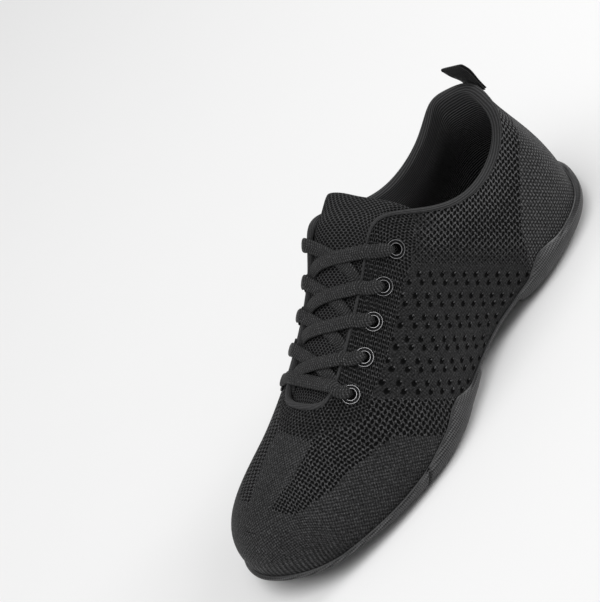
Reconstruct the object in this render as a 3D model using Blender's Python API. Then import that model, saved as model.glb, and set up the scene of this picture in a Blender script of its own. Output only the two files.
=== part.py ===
"""Left-foot cheerleading shoe: a knit upper on a split rubber sole, laced over a padded tongue.

Every piece is a closed solid in millimetres, written to the scene in metres.  The toe points along
+X, the outer side of the foot is +Y, and the sole's flat spots stand on z = 0.  The origin is the
middle of the whole shoe's footprint.
"""
from math import cos, pi, sin

import bmesh
import bpy
import numpy as np

MM = 0.001

# The upper, one row per section from the heel round the outer side to the toe.  The inner side uses
# the same rows again.
#   at, outer, inner, feather   lower edge: station, half widths, height
#   rim_at .. rim_inner_z       upper edge: stations on the two sides, half width, middle, heights
#   lean, rise                  how the wall leaves the lower edge: degrees outward, reach
#   dip, run                    how it meets the upper edge: degrees below level, reach
#   pad                         wall thickness at the upper edge
LAST_COLUMNS = ("section", "at", "outer", "inner", "feather",
                "rim_at", "rim_inner_at", "rim_half", "rim_mid", "rim_outer_z", "rim_inner_z",
                "lean", "rise", "dip", "run", "pad")
LAST_ROWS = (
    ("heel",          0.0, -1.0,  1.0, 10.0,    9.5,   9.5,  0.0,  0.0, 79.0, 79.0,    6.0, 29.5, 84.0, 26.0,  6.0),
    ("heel_corner",   5.0, 13.0, 16.5, 10.0,   14.0,  14.0, 13.0,  0.0, 76.0, 78.5,    5.0, 29.0, 86.0, 26.0,  6.0),
    ("heel_side",    20.0, 28.5, 30.0, 10.0,   22.0,  22.0, 22.0,  0.0, 69.5, 75.5,    6.5, 27.5, 86.0, 22.0,  6.0),
    ("ankle_back",   45.0, 34.0, 33.0, 10.0,   38.0,  38.0, 25.5,  0.0, 61.0, 67.0,    6.0, 24.0, 86.0, 19.0,  6.0),
    ("ankle",        72.0, 33.5, 30.5, 10.5,   62.0,  62.0, 28.5,  0.0, 63.0, 64.5,    6.0, 22.0, 84.0, 18.0,  6.0),
    ("ankle_front",  98.0, 33.0, 27.5, 11.0,   83.5,  86.5, 26.0,  0.0, 75.5, 77.0,    5.0, 22.0, 70.0, 18.0,  5.0),
    ("instep_top",  120.0, 36.5, 28.0, 10.5,  101.5, 108.5, 20.0, -2.5, 90.0, 92.5,    5.0, 22.0, 50.0, 20.0,  3.0),
    ("instep",      142.0, 41.0, 33.0,  9.0,  117.0, 122.5, 17.0, -2.5, 83.5, 85.5,    5.0, 22.0, 42.0, 22.0,  1.8),
    ("waist",       163.0, 44.0, 40.0,  7.5,  135.0, 139.0, 16.0, -2.0, 72.3, 73.5,    5.0, 21.0, 38.0, 23.0,  1.8),
    ("ball",        184.0, 42.0, 43.0,  7.0,  154.5, 156.5, 15.5, -1.8, 62.8, 63.5,    5.0, 20.0, 34.0, 23.5,  1.8),
    ("toe_ball",    204.0, 37.5, 43.0,  7.0,  170.0, 171.0, 15.5, -1.3, 56.7, 57.0,    5.0, 19.5, 31.0, 26.0,  1.8),
    ("toe_side",    224.0, 30.5, 39.5,  8.5,  179.5, 180.0, 13.5, -1.0, 54.3, 54.0,    7.0, 20.0, 24.0, 30.0,  1.8),
    ("toe_corner",  241.0, 19.5, 31.5, 11.0,  183.6, 183.8,  8.0, -1.0, 54.5, 54.0,   10.5, 24.0, 19.0, 40.0,  1.8),
    ("toe",         252.0, -7.0,  8.0, 13.0,  184.8, 184.8,  0.0, -1.0, 54.8, 54.8,   10.5, 26.0, 18.0, 42.0,  1.8),
)

# The sole along the shoe: height of the wall's top edge, height of the underside, how far the
# underside tucks in below the wall, and how far the wall swells past the upper's lower edge.
SOLE_COLUMNS = ("at", "wall_top", "ground", "tuck", "swell")
SOLE_ROWS = (
    (-4.0,  27.0,  0.0, 11.0, 3.2),
    (20.0,  17.5,  0.0, 10.5, 3.4),
    (45.0,  16.0,  0.0,  9.5, 3.4),
    (63.0,  19.0,  0.0, 10.0, 3.6),
    (75.0,  13.5,  0.2, 10.5, 3.0),
    (82.0,  12.0,  2.2, 11.5, 2.4),
    (84.0,  12.3,  5.0, 12.0, 1.6),
    (105.0, 12.5,  6.4, 12.0, 1.6),
    (125.0, 12.0,  5.4, 11.5, 1.6),
    (127.5, 12.0,  2.8, 11.0, 2.2),
    (141.0, 12.8,  0.6, 10.0, 2.6),
    (155.0, 17.5,  0.0,  7.5, 3.6),
    (170.0, 12.5,  0.0,  6.5, 3.4),
    (185.0, 10.2,  0.0,  7.0, 3.0),
    (208.0, 10.2,  1.5,  8.5, 2.6),
    (232.0, 13.5,  5.5, 11.0, 2.4),
    (252.0, 19.0, 10.0, 13.0, 2.2),
)
SOLE_SKEW = 0.12         # the sole's steps run slanting: the outer side lies this much further back

LINES_PER_ROW = 3        # lines round the shoe between two section rows
STEP_STATIONS = (63.0, 82.0, 84.0, 125.0, 127.5, 155.0)   # stations of lines moved onto the sole's steps
STEP_LINES = (11, 13, 14, 18, 19, 23)                     # the lines moved there, counted from the heel
WALL = 1.8               # knit wall away from the collar
GAP = 0.35               # clearance between neighbouring pieces
EDGE = 1.3               # sole wall thickness at its top edge
INSOLE_THICK = 3.5

EYELET_STATIONS = (6.08, 7.03, 7.88, 8.60, 9.50)   # places along the section rows, top pair first
EYELET_HEIGHTS = (0.79, 0.785, 0.81, 0.80, 0.81)   # places up the upper's wall
EYELET_LEVEL = 0.79
EYELET_FLANGE = 4.6      # radii
EYELET_BORE = 2.4
HOLE = 3.2

LACE_WIDE = 6.6
LACE_THICK = 1.9
LACE_LIFT = 1.75         # lace middle above the upper's skin

LOOP_WIDE = 11.0         # heel loop ribbon
LOOP_THICK = 0.8


def table(columns, rows):
    """The rows' columns by name, as arrays."""
    return {name: np.array([row[i] for row in rows]) for i, name in enumerate(columns)}


LAST = table(LAST_COLUMNS, LAST_ROWS)
SOLE = table(SOLE_COLUMNS, SOLE_ROWS)
KNOTS = 2 * len(LAST_ROWS) - 2
UP = np.array([0.0, 0.0, 1.0])


def unit(vectors):
    return vectors / np.linalg.norm(vectors, axis=-1, keepdims=True)


def level_outward(loop):
    """Level outward directions at the points of a closed loop that runs heel, outer side, toe."""
    along = np.roll(loop, -1, axis=0) - np.roll(loop, 1, axis=0)
    return unit(np.stack([-along[:, 1], along[:, 0], np.zeros(len(loop))], axis=1))


def control_loops():
    """Lower edge, its handle, the upper edge's handle, the upper edge and the pad, once round."""
    count = len(LAST_ROWS)
    order = np.r_[np.arange(count), np.arange(count - 2, 0, -1)]
    side = np.r_[np.ones(count), -np.ones(count - 2)]
    row = {name: values[order] for name, values in LAST.items() if name != "section"}
    feather = np.stack([row["at"], np.where(side > 0, row["outer"], -row["inner"]), row["feather"]], axis=1)
    rim = np.stack([np.where(side > 0, row["rim_at"], row["rim_inner_at"]), row["rim_mid"] + side * row["rim_half"],
                    np.where(side > 0, row["rim_outer_z"], row["rim_inner_z"])], axis=1)
    outward = level_outward(feather)
    fan = (feather - rim) * [1, 1, 0]
    reach = np.linalg.norm(fan, axis=1)[:, None]
    share = np.clip((reach - 6) / 10, 0, 1)
    fan = unit(share * fan / np.maximum(reach, 1e-6) + (1 - share) * outward)
    lean, dip = np.radians(row["lean"])[:, None], np.radians(row["dip"])[:, None]
    low = feather + row["rise"][:, None] * (np.cos(lean) * UP + np.sin(lean) * outward)
    high = rim + row["run"][:, None] * (np.cos(dip) * fan - np.sin(dip) * UP)
    return np.concatenate([feather, low, high, rim, row["pad"][:, None]], axis=1)


def loop_spline(knots, places):
    """A closed cubic spline through the knots, read at places counted in knots."""
    places = np.asarray(places, float)
    eye = np.eye(len(knots))
    bend = np.linalg.solve(4 * eye + np.roll(eye, 1, axis=0) + np.roll(eye, -1, axis=0),
                           6 * (np.roll(knots, 1, axis=0) - 2 * knots + np.roll(knots, -1, axis=0)))
    first = np.floor(places).astype(int)
    f = (places - first)[:, None]
    i, j = first % len(knots), (first + 1) % len(knots)
    return ((1 - f) * knots[i] + f * knots[j]
            - f * (1 - f) / 6 * ((2 - f) * bend[i] + (1 + f) * bend[j]))


CONTROLS = control_loops()


def skin(places, heights):
    """The upper's outside: points and outward normals for places round by heights up the wall."""
    places = np.atleast_1d(np.asarray(places, float))
    t = np.asarray(heights, float)
    t = (t[None, :] if t.ndim == 1 else t)[:, :, None]

    def points(at):
        c = loop_spline(CONTROLS, at)
        p = [c[:, None, 3 * k:3 * k + 3] for k in range(4)]
        spot = (1 - t) ** 3 * p[0] + 3 * t * (1 - t) ** 2 * p[1] + 3 * t * t * (1 - t) * p[2] + t ** 3 * p[3]
        climb = (1 - t) ** 2 * (p[1] - p[0]) + 2 * t * (1 - t) * (p[2] - p[1]) + t * t * (p[3] - p[2])
        return spot, climb

    spot, climb = points(places)
    onward = points(places + 0.01)[0] - points(places - 0.01)[0]
    return spot, unit(np.cross(climb, onward)), unit(climb)


def pad_at(places):
    return loop_spline(CONTROLS, places)[:, 12]


def wall_at(places, heights):
    """Wall thickness: thin knit below, growing into the padded collar above."""
    rise = np.clip((np.asarray(heights) - 0.35) / 0.5, 0, 1)
    rise = rise * rise * (3 - 2 * rise)
    return WALL + (pad_at(places)[:, None] - WALL) * rise[None, :]


def along_sole(column, x):
    """A sole column read at stations x, by a cubic that never overshoots the rows."""
    xs, ys = SOLE["at"], SOLE[column]
    step = np.diff(xs)
    grade = np.diff(ys) / step
    both = grade[:-1] * grade[1:]
    total = np.where(grade[:-1] + grade[1:] == 0, 1, grade[:-1] + grade[1:])
    slope = np.r_[grade[0], np.where(both > 0, 2 * both / total, 0), grade[-1]]
    x = np.clip(x, xs[0], xs[-1])
    i = np.clip(np.searchsorted(xs, x) - 1, 0, len(step) - 1)
    f = (x - xs[i]) / step[i]
    return (ys[i] * (1 + 2 * f) * (1 - f) ** 2 + slope[i] * step[i] * f * (1 - f) ** 2
            + ys[i + 1] * f * f * (3 - 2 * f) - slope[i + 1] * step[i] * f * f * (1 - f))


# Mesh helpers

def paint(name, colour, roughness, metallic=0.0):
    material = bpy.data.materials.new(name)
    material.use_nodes = True
    shader = material.node_tree.nodes["Principled BSDF"]
    shader.inputs["Base Color"].default_value = (*colour, 1.0)
    shader.inputs["Roughness"].default_value = roughness
    shader.inputs["Metallic"].default_value = metallic
    return material


def solid(name, points, faces, material=None):
    """One closed body from points in millimetres."""
    mesh = bpy.data.meshes.new(name)
    mesh.from_pydata((np.asarray(points) * MM).tolist(), [], faces)
    work = bmesh.new()
    work.from_mesh(mesh)
    bmesh.ops.recalc_face_normals(work, faces=work.faces)
    work.to_mesh(mesh)
    work.free()
    thing = bpy.data.objects.new(name, mesh)
    bpy.context.collection.objects.link(thing)
    if material:
        mesh.materials.append(material)
    return thing


def sheet_faces(rows, columns, start=0, wrap_rows=False, wrap_columns=False):
    """Four-sided faces of a grid of points, wrapped where asked."""
    faces = []
    for i in range(rows if wrap_rows else rows - 1):
        for j in range(columns if wrap_columns else columns - 1):
            a, b = (i + 1) % rows, (j + 1) % columns
            faces.append([start + i * columns + j, start + a * columns + j,
                          start + a * columns + b, start + i * columns + b])
    return faces


def floor_faces(ring):
    """Strips across a ring whose second half mirrors its first."""
    count = len(ring)
    half = count // 2
    faces = [[ring[0], ring[1], ring[-1]], [ring[half - 1], ring[half], ring[half + 1]]]
    faces += [[ring[i], ring[i + 1], ring[count - i - 1], ring[count - i]] for i in range(1, half - 1)]
    return faces


def stacked_rings(name, rings, material=None):
    """A body of rings one inside or above the other, closed across the first and the last."""
    count = len(rings[0])
    points = np.concatenate(rings)
    faces = []
    for level in range(len(rings) - 1):
        for i in range(count):
            j = (i + 1) % count
            faces.append([level * count + i, level * count + j, (level + 1) * count + j, (level + 1) * count + i])
    last = (len(rings) - 1) * count
    faces += floor_faces(list(range(count)))
    faces += floor_faces(list(range(last, last + count)))
    return solid(name, points, faces, material)


def swept(name, sections, material=None):
    """A body of closed sections in a row, with flat ends."""
    sections = np.asarray(sections)
    rows, columns = sections.shape[:2]
    faces = sheet_faces(rows, columns, wrap_columns=True)
    faces += [list(range(columns)), list(range((rows - 1) * columns, rows * columns))]
    return solid(name, sections.reshape(-1, 3), faces, material)


def combine(target, tool, operation):
    """Cut the tool from the target or join it on, then drop the tool."""
    tool.hide_render = True
    tool.display_type = "WIRE"
    modifier = target.modifiers.new(operation.lower(), "BOOLEAN")
    modifier.operation = operation
    modifier.solver = "EXACT"
    modifier.object = tool
    graph = bpy.context.evaluated_depsgraph_get()
    made = bpy.data.meshes.new_from_object(target.evaluated_get(graph))
    target.modifiers.clear()
    target.data = made
    bpy.data.objects.remove(tool)


for old in list(bpy.data.objects):
    bpy.data.objects.remove(old)


def loop_places():
    """Lines round the shoe, a few to each row, with some of them moved onto the sole's steps."""
    places = np.arange(KNOTS * LINES_PER_ROW) / LINES_PER_ROW
    half = np.linspace(0, KNOTS / 2, 2001)
    for side, sign in ((half, 1), (KNOTS - half, -1)):
        x, y, _ = loop_spline(CONTROLS, side)[:, :3].T
        places[[sign * line for line in STEP_LINES]] = np.interp(STEP_STATIONS, x + SOLE_SKEW * y, side)
    return places


PLACES = loop_places()
FEATHER = loop_spline(CONTROLS, PLACES)[:, :3]
OUTWARD = level_outward(FEATHER)


# Upper: one knit shell, folded over a padded collar

def build_upper():
    heights = np.array([0.0, 0.07, 0.17, 0.3, 0.45, 0.6, 0.75, 0.89, 1.0])
    outside, normal, climb = skin(PLACES, heights)
    thick = wall_at(PLACES, heights)[:, :, None]
    inside = outside - thick * normal
    inside[:, 0] = outside[:, 0] - thick[:, 0] * OUTWARD
    half = 0.5 * thick[:, -1]
    middle = outside[:, -1] - half * normal[:, -1]
    roll = [middle + half * (cos(a) * normal[:, -1] + 0.7 * sin(a) * climb[:, -1])
            for a in (0.25 * pi, 0.5 * pi, 0.75 * pi)]
    profile = np.concatenate([outside, np.stack(roll, axis=1), inside[:, ::-1]], axis=1)
    faces = sheet_faces(len(PLACES), profile.shape[1], wrap_rows=True, wrap_columns=True)
    upper = solid("upper", profile.reshape(-1, 3), faces, paint("knit", (0.028, 0.028, 0.03), 0.9))
    for spot, normal, level in EYELETS:
        combine(upper, drill("hole", spot, normal, level, HOLE, 5.0), "DIFFERENCE")
    return upper


def frame_at(place, height):
    """A spot on the skin, its outward normal, and a level direction along the skin."""
    spot, normal, climb = (v[0, 0] for v in skin([place], [height]))
    return spot, normal, unit(np.cross(normal, climb))


def drill(name, spot, normal, level, radius, reach, sides=12):
    across = np.cross(normal, level)
    turn = np.arange(sides) * 2 * pi / sides
    ring = radius * (np.cos(turn)[:, None] * level + np.sin(turn)[:, None] * across)
    return swept(name, [spot + ring - reach * normal, spot + ring + reach * normal])


EYELETS = [frame_at(place, height) for place, height in zip(EYELET_STATIONS, EYELET_HEIGHTS)]
EYELETS += [frame_at(KNOTS - place, height) for place, height in zip(EYELET_STATIONS, EYELET_HEIGHTS)]


# Outsole: moulded cup with heel block, ribbed arch, forefoot block and toe spring

def skin_at_level(level):
    """Where each loop line of the skin reaches the given heights."""
    heights = np.linspace(0, 0.6, 121)
    spots = skin(PLACES, heights)[0]
    found = []
    for line, z in zip(spots, level):
        t = np.interp(z, line[:, 2], heights)
        found.append([np.interp(t, heights, line[:, k]) for k in range(3)])
    return np.array(found)


def at_height(points, z):
    points = points.copy()
    points[:, 2] = z
    return points


def build_outsole():
    x = FEATHER[:, 0] + SOLE_SKEW * FEATHER[:, 1]
    top, ground, tuck, swell = (along_sole(name, x) for name in SOLE_COLUMNS[1:])
    bed = FEATHER[:, 2] - GAP
    middle = 0.5 * (bed + top)
    rings = [at_height(FEATHER + GAP * OUTWARD, bed),
             at_height(skin_at_level(middle) + GAP * OUTWARD, middle),
             at_height(skin_at_level(top) + GAP * OUTWARD, top),
             at_height(skin_at_level(top) + (GAP + EDGE) * OUTWARD, top - 0.3),
             at_height(skin_at_level(middle) + (0.4 * (GAP + EDGE) + 0.6 * swell)[:, None] * OUTWARD, middle)]
    for share in (0.0, 0.25, 0.5, 0.75, 1.0):
        turn = 0.5 * pi * share
        reach = swell - tuck * (1 - cos(turn))
        rings.append(at_height(FEATHER + reach[:, None] * OUTWARD, bed - (bed - ground) * sin(turn)))
    outsole = stacked_rings("outsole", rings, paint("rubber", (0.03, 0.03, 0.032), 0.7))
    for tool in tread_tools():
        combine(outsole, tool, "DIFFERENCE")
    return outsole


HEEL_OVALS = ((31.5, 22.0), (27.0, 17.0))          # half length, half width of the two heel rings
HEEL_CENTRE = (39.0, 0.5)
GROOVE_WIDE = 1.3
GROOVE_DEEP = 1.0
PAD_CENTRE, PAD_HALF = (165.0, 1.0), (33.0, 36.0)   # forefoot pad outline
SPIN_CENTRE, SPIN_HALF = (174.0, -14.0), (17.5, 18.5)
TOE_PAD_CENTRE, TOE_PAD_HALF = (230.0, 1.0), (13.0, 20.0)
RIB_FIRST, RIB_PITCH, RIB_COUNT = 85.5, 3.4, 11
RIB_WIDE, RIB_DEEP = 1.5, 1.1
SLIT_FOOT, SLIT_TOP, SLIT_WIDE = 186.0, 171.0, 0.9   # slanting cut in the outer wall


def groove(name, outline, floor):
    """A closed channel that follows an outline on the underside, cut up into the rubber."""
    outline = np.asarray(outline, float)
    outward = level_outward(np.c_[outline, np.zeros(len(outline))])
    sections = []
    for (x, y), out in zip(outline, outward):
        base = np.array([x, y, 0.0])
        low, high = floor(x, y) - 4.0, floor(x, y) + GROOVE_DEEP
        sections.append([base + low * UP, base + low * UP + GROOVE_WIDE * out,
                         base + high * UP + GROOVE_WIDE * out, base + high * UP])
    sections = np.array(sections)
    return solid(name, sections.reshape(-1, 3),
                 sheet_faces(len(sections), 4, wrap_rows=True, wrap_columns=True))


def oval(centre, half, power=2.0, sides=30):
    turn = -np.arange(sides) * 2 * pi / sides
    c, s = np.cos(turn), np.sin(turn)
    return np.stack([centre[0] + half[0] * np.sign(c) * np.abs(c) ** (2 / power),
                     centre[1] + half[1] * np.sign(s) * np.abs(s) ** (2 / power)], axis=1)


def tread_tools():
    def underside(x, y):
        return float(along_sole("ground", np.array([x + SOLE_SKEW * y]))[0])

    for number, half in enumerate(HEEL_OVALS):
        yield groove(f"heel_ring_{number}", oval(HEEL_CENTRE, half, 2.2), underside)
    yield groove("pad_ring", oval(PAD_CENTRE, PAD_HALF, 2.6), underside)
    yield groove("spin_ring", oval(SPIN_CENTRE, SPIN_HALF), underside)
    yield groove("toe_ring", oval(TOE_PAD_CENTRE, TOE_PAD_HALF, 2.0, 22), underside)
    for number in range(RIB_COUNT):
        start = RIB_FIRST + number * RIB_PITCH
        sections = []
        for y in np.linspace(-45.0, 8.0, 6):
            x = start - SOLE_SKEW * y + 3.0 * ((y - 8.0) / 53.0) ** 2
            low, high = underside(x, y) - 6.0, underside(x, y) + RIB_DEEP
            sections.append([[x, y, low], [x + RIB_WIDE, y, low], [x + RIB_WIDE, y, high], [x, y, high]])
        yield swept(f"rib_{number}", sections)
    slit = [[[SLIT_FOOT, y, -2.0], [SLIT_FOOT + SLIT_WIDE, y, -2.0],
             [SLIT_TOP + SLIT_WIDE, y, 16.0], [SLIT_TOP, y, 16.0]] for y in (43.9, 60.0)]
    yield swept("slit", slit)


# Insole: flat foam bed inside the upper's lower edge

def build_insole():
    edge = FEATHER - (WALL + GAP) * OUTWARD
    low = at_height(edge, FEATHER[:, 2])
    high = at_height(edge, FEATHER[:, 2] + INSOLE_THICK - 0.8)
    crown = at_height(FEATHER - (WALL + GAP + 1.0) * OUTWARD, FEATHER[:, 2] + INSOLE_THICK)
    return stacked_rings("insole", [low, high, crown], paint("foam", (0.02, 0.02, 0.021), 0.95))


# Throat: the skin carried smoothly across from one eyelet row to the other

BRIDGE = 0.45            # how strongly the skin's slope carries on over the throat


def throat(place, across):
    """A point and normal at a station.  Across runs from -2 on the inner eyelets to 2 on the outer."""
    sides = []
    for side_place in (place, KNOTS - place):
        sides.append([v[0] for v in skin([side_place], [1.0, EYELET_LEVEL])])
    (outer, _, outer_climb), (inner, _, inner_climb) = sides

    def spot(s):
        if abs(s) >= 1:
            side = place if s > 0 else KNOTS - place
            return skin([side], [1.0 - (abs(s) - 1) * (1.0 - EYELET_LEVEL)])[0][0, 0]
        chord = np.linalg.norm(outer[0] - inner[0])
        f = 0.5 * (1 - s)
        return (outer[0] * (1 + 2 * f) * (1 - f) ** 2 + BRIDGE * chord * outer_climb[0] * f * (1 - f) ** 2
                + inner[0] * f * f * (3 - 2 * f) + BRIDGE * chord * inner_climb[0] * f * f * (1 - f))

    here = spot(across)
    aside = spot(min(across + 0.02, 2.4)) - spot(max(across - 0.02, -2.4))
    return here, aside


def throat_frame(place, across):
    here, aside = throat(place, across)
    ahead = throat(place + 0.05, across)[0] - throat(place - 0.05, across)[0]
    return here, unit(np.cross(ahead, aside))


# Tongue: padded sheet under the eyelet rows, standing clear above the top lacing

TONGUE_STATIONS = (11.2, 10.3, 9.4, 8.6, 7.8, 7.0, 6.3, 5.95)
TONGUE_ACROSS = (-1.7, -1.35, -1.0, -0.6, 0.0, 0.6, 1.0, 1.35, 1.7)
TONGUE_DROP = (2.6, 2.5, 2.5, 1.2, 0.3, 1.2, 2.5, 2.5, 2.6)     # below the skin, at those places
TONGUE_THICK = (1.6, 2.2, 3.0, 4.2, 5.0, 4.2, 3.0, 2.2, 1.6)
TONGUE_ROOT = ((198.0, 12.0), (185.0, 15.0))          # under the vamp: station, half width
TONGUE_ROOT_THICK = 1.6
# Above the last station: reach, width and thickness against that station, shift to the outer side
TONGUE_TOP = ((3.0, 0.95, 1.0, 0.0), (6.5, 0.92, 0.9, 0.7), (9.0, 0.91, 0.6, 1.9), (10.3, 0.89, 0.25, 2.6))


def skin_over(x, y):
    """The skin's point and normal straight above a spot on the plan, under the vamp's front half."""
    at = np.array([13.0 if abs(y + 3) < 1e-6 else 12.0 if y > -3 else 14.0, 0.85])
    for _ in range(30):
        here = skin([at[0]], [at[1]])[0][0, 0]
        turn = skin([at[0] + 0.01], [at[1]])[0][0, 0] - here
        climb = skin([at[0]], [at[1] + 0.01])[0][0, 0] - here
        moves = np.linalg.solve(np.stack([turn[:2], climb[:2]], axis=1), np.array([x, y]) - here[:2])
        at = at + np.clip(0.01 * moves, -0.3, 0.3)
    spot, normal, _ = skin([at[0]], [at[1]])
    return spot[0, 0], normal[0, 0]


def build_tongue():
    """Sections from the root under the vamp, along the throat, to the rounded top."""
    sections = []
    for station, half in TONGUE_ROOT:
        top, low = [], []
        for across in TONGUE_ACROSS:
            here, normal = skin_over(station, half * across / TONGUE_ACROSS[-1] - 2.5)
            top.append(here - (WALL + 2 * GAP) * normal)
            low.append(here - (WALL + 2 * GAP + TONGUE_ROOT_THICK) * normal)
        sections.append(np.array(top + low[::-1]))
    for place in TONGUE_STATIONS:
        top, low = [], []
        extra = max(0.0, 2.2 - 0.9 * (place - 5.95))
        sunk = np.clip((place - 9.2) / 1.6, 0, 1)
        for across, drop, thick in zip(TONGUE_ACROSS, TONGUE_DROP, TONGUE_THICK):
            here, normal = throat_frame(place, across)
            down = max(drop, sunk * (WALL + 3 * GAP)) + (extra if abs(across) >= 1 else 0.45 * extra)
            top.append(here - down * normal)
            low.append(here - (down + thick) * normal)
        sections.append(np.array(top + low[::-1]))
    ahead = unit(sections[-1].mean(axis=0) - sections[-3].mean(axis=0))
    last = sections[-1]
    count = len(TONGUE_ACROSS)
    core = 0.5 * (last[:count] + last[:count - 1:-1])
    core = np.concatenate([core, core[::-1]])
    swing = (np.array(TONGUE_ACROSS) / TONGUE_ACROSS[-1]) ** 2
    swing = np.concatenate([swing, swing[::-1]])[:, None] * [-0.8, 0, 0]
    for reach, width, thick, shift in TONGUE_TOP:
        ring = core + thick * (last - core)
        ring[:, 1] = core[:, 1].mean() + width * (ring[:, 1] - core[:, 1].mean()) + shift
        sections.append(ring + reach * (ahead + swing))
    return swept("tongue", sections, paint("mesh", (0.03, 0.03, 0.032), 0.9))


# Eyelets: rolled metal rings through the upper

def build_eyelet(name, spot, normal, level, material):
    across = np.cross(normal, level)
    seat = 0.45
    profile = ((EYELET_BORE, -WALL - 0.6), (EYELET_BORE + 0.45, -WALL - 0.6), (EYELET_BORE + 0.45, seat),
               (EYELET_FLANGE, seat), (EYELET_FLANGE - 0.5, seat + 0.75), (EYELET_BORE + 0.5, seat + 0.75),
               (EYELET_BORE, seat))
    sides = 10
    points = [spot + radius * (cos(a) * level + sin(a) * across) + height * normal
              for a in np.arange(sides) * 2 * pi / sides for radius, height in profile]
    faces = sheet_faces(sides, len(profile), wrap_rows=True, wrap_columns=True)
    return solid(name, points, faces, material)


# Laces: flat braid over the tongue, a straight bar below four crossings

def braid(name, path, ups, material=None):
    """A flat oval cord along a path, its broad side facing the given directions."""
    path, ups = np.asarray(path), np.asarray(ups)
    ahead = unit(np.gradient(path, axis=0))
    sideways = unit(np.cross(ups, ahead))
    ups = np.cross(ahead, sideways)
    turn = (np.arange(8) + 0.5) * 2 * pi / 8
    wide = 0.5 * LACE_WIDE * np.sign(np.cos(turn)) * np.abs(np.cos(turn)) ** 0.7
    thick = 0.5 * LACE_THICK * np.sign(np.sin(turn)) * np.abs(np.sin(turn)) ** 0.8
    sections = path[:, None] + wide[None, :, None] * sideways[:, None] + thick[None, :, None] * ups[:, None]
    return swept(name, sections, material)


def lace_path(route, hump, steps=11):
    """A strand along a route of places and distances across, lifted off the throat."""
    path, ups = [], []
    for f in np.linspace(0, 1, steps):
        place, across = route(f)
        here, normal = throat_frame(place, across)
        path.append(here + (LACE_LIFT + hump * sin(pi * f) ** 2) * normal)
        ups.append(normal)
    return path, ups


LACE_START = 1.38        # just inside the eyelet's rim
LACE_END = 0.45          # inside the far edge of the throat
CROSS_DROP = (1.3, 1.3, 1.3, 1.1)   # how far ahead the strands cross the middle, in eyelet steps
BAR_BOW = 1.0            # the bar's middle lies this many rows ahead of its eyelets
OVER_HUMP, UNDER_HUMP = 1.3, 0.2


def build_laces(material):
    stations = EYELET_STATIONS
    for number, drop in enumerate(CROSS_DROP):
        start, step = stations[number], stations[number + 1] - stations[number]

        def crossing(f, side):
            across = LACE_START - f * (LACE_START + LACE_END)
            return start + step * drop * (1 - 0.32 * across - 0.09 * across ** 2), side * across

        cross = braid(f"lace_cross_{number + 1}", *lace_path(lambda f: crossing(f, 1), OVER_HUMP), material)
        under = braid("under", *lace_path(lambda f: crossing(f, -1), UNDER_HUMP))
        combine(cross, under, "UNION")

    def straight(f):
        across = LACE_START * (1 - 2 * f)
        return stations[4] + BAR_BOW * (1 - (0.5 * across) ** 2), across

    braid("lace_bar", *lace_path(straight, 0.3), material)


# Heel loop: folded ribbon sewn to the back of the collar

LOOP_LEG = (0.93, 0.965, 1.0)                       # places up the heel where the legs are sewn
LOOP_BOW = ((10.3, 83.0), (12.8, 87.2), (15.6, 90.6), (16.3, 92.6), (14.9, 94.0), (12.6, 93.0),
            (9.7, 88.2), (7.7, 83.0))               # side view of the loop above the rim


def build_pull_loop():
    spots, normals, _ = skin([0.0], LOOP_LEG)
    inner_leg = spots[0] + (GAP + 0.6 * LOOP_THICK) * normals[0]
    outer_leg = spots[0] + (1.6 * GAP + 1.65 * LOOP_THICK) * normals[0]
    bow = np.array([[x, 0.0, z] for x, z in LOOP_BOW])
    path = np.concatenate([inner_leg, bow, outer_leg[::-1]]) * [1, 0, 1]
    ahead = unit(np.gradient(path, axis=0))
    out = np.stack([-ahead[:, 2], np.zeros(len(path)), ahead[:, 0]], axis=1)
    side = np.array([0.0, 0.5 * LOOP_WIDE, 0.0])
    half = 0.5 * LOOP_THICK * out
    sections = np.stack([path - side - half, path + side - half, path + side + half, path - side + half], axis=1)
    return swept("pull_loop", sections, paint("webbing", (0.025, 0.025, 0.027), 0.85))


build_upper()
build_outsole()
build_insole()
build_tongue()
METAL = paint("black_metal", (0.02, 0.02, 0.021), 0.3, 0.9)
for index, (spot, normal, level) in enumerate(EYELETS):
    row = "outer" if index < 5 else "inner"
    build_eyelet(f"eyelet_{row}_{index % 5 + 1}", spot, normal, level, METAL)
build_laces(paint("cord", (0.03, 0.03, 0.032), 0.85))
build_pull_loop()

# The origin goes to the middle of the footprint
PIECES = list(bpy.data.objects)
CORNERS = np.array([vertex.co for piece in PIECES for vertex in piece.data.vertices])
CENTRE = 0.5 * (CORNERS.min(axis=0) + CORNERS.max(axis=0))
for piece in PIECES:
    for vertex in piece.data.vertices:
        vertex.co.x -= CENTRE[0]
        vertex.co.y -= CENTRE[1]
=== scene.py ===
from math import cos, pi, sin

import bmesh
import bpy
import numpy as np
from mathutils import Matrix, Vector


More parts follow.
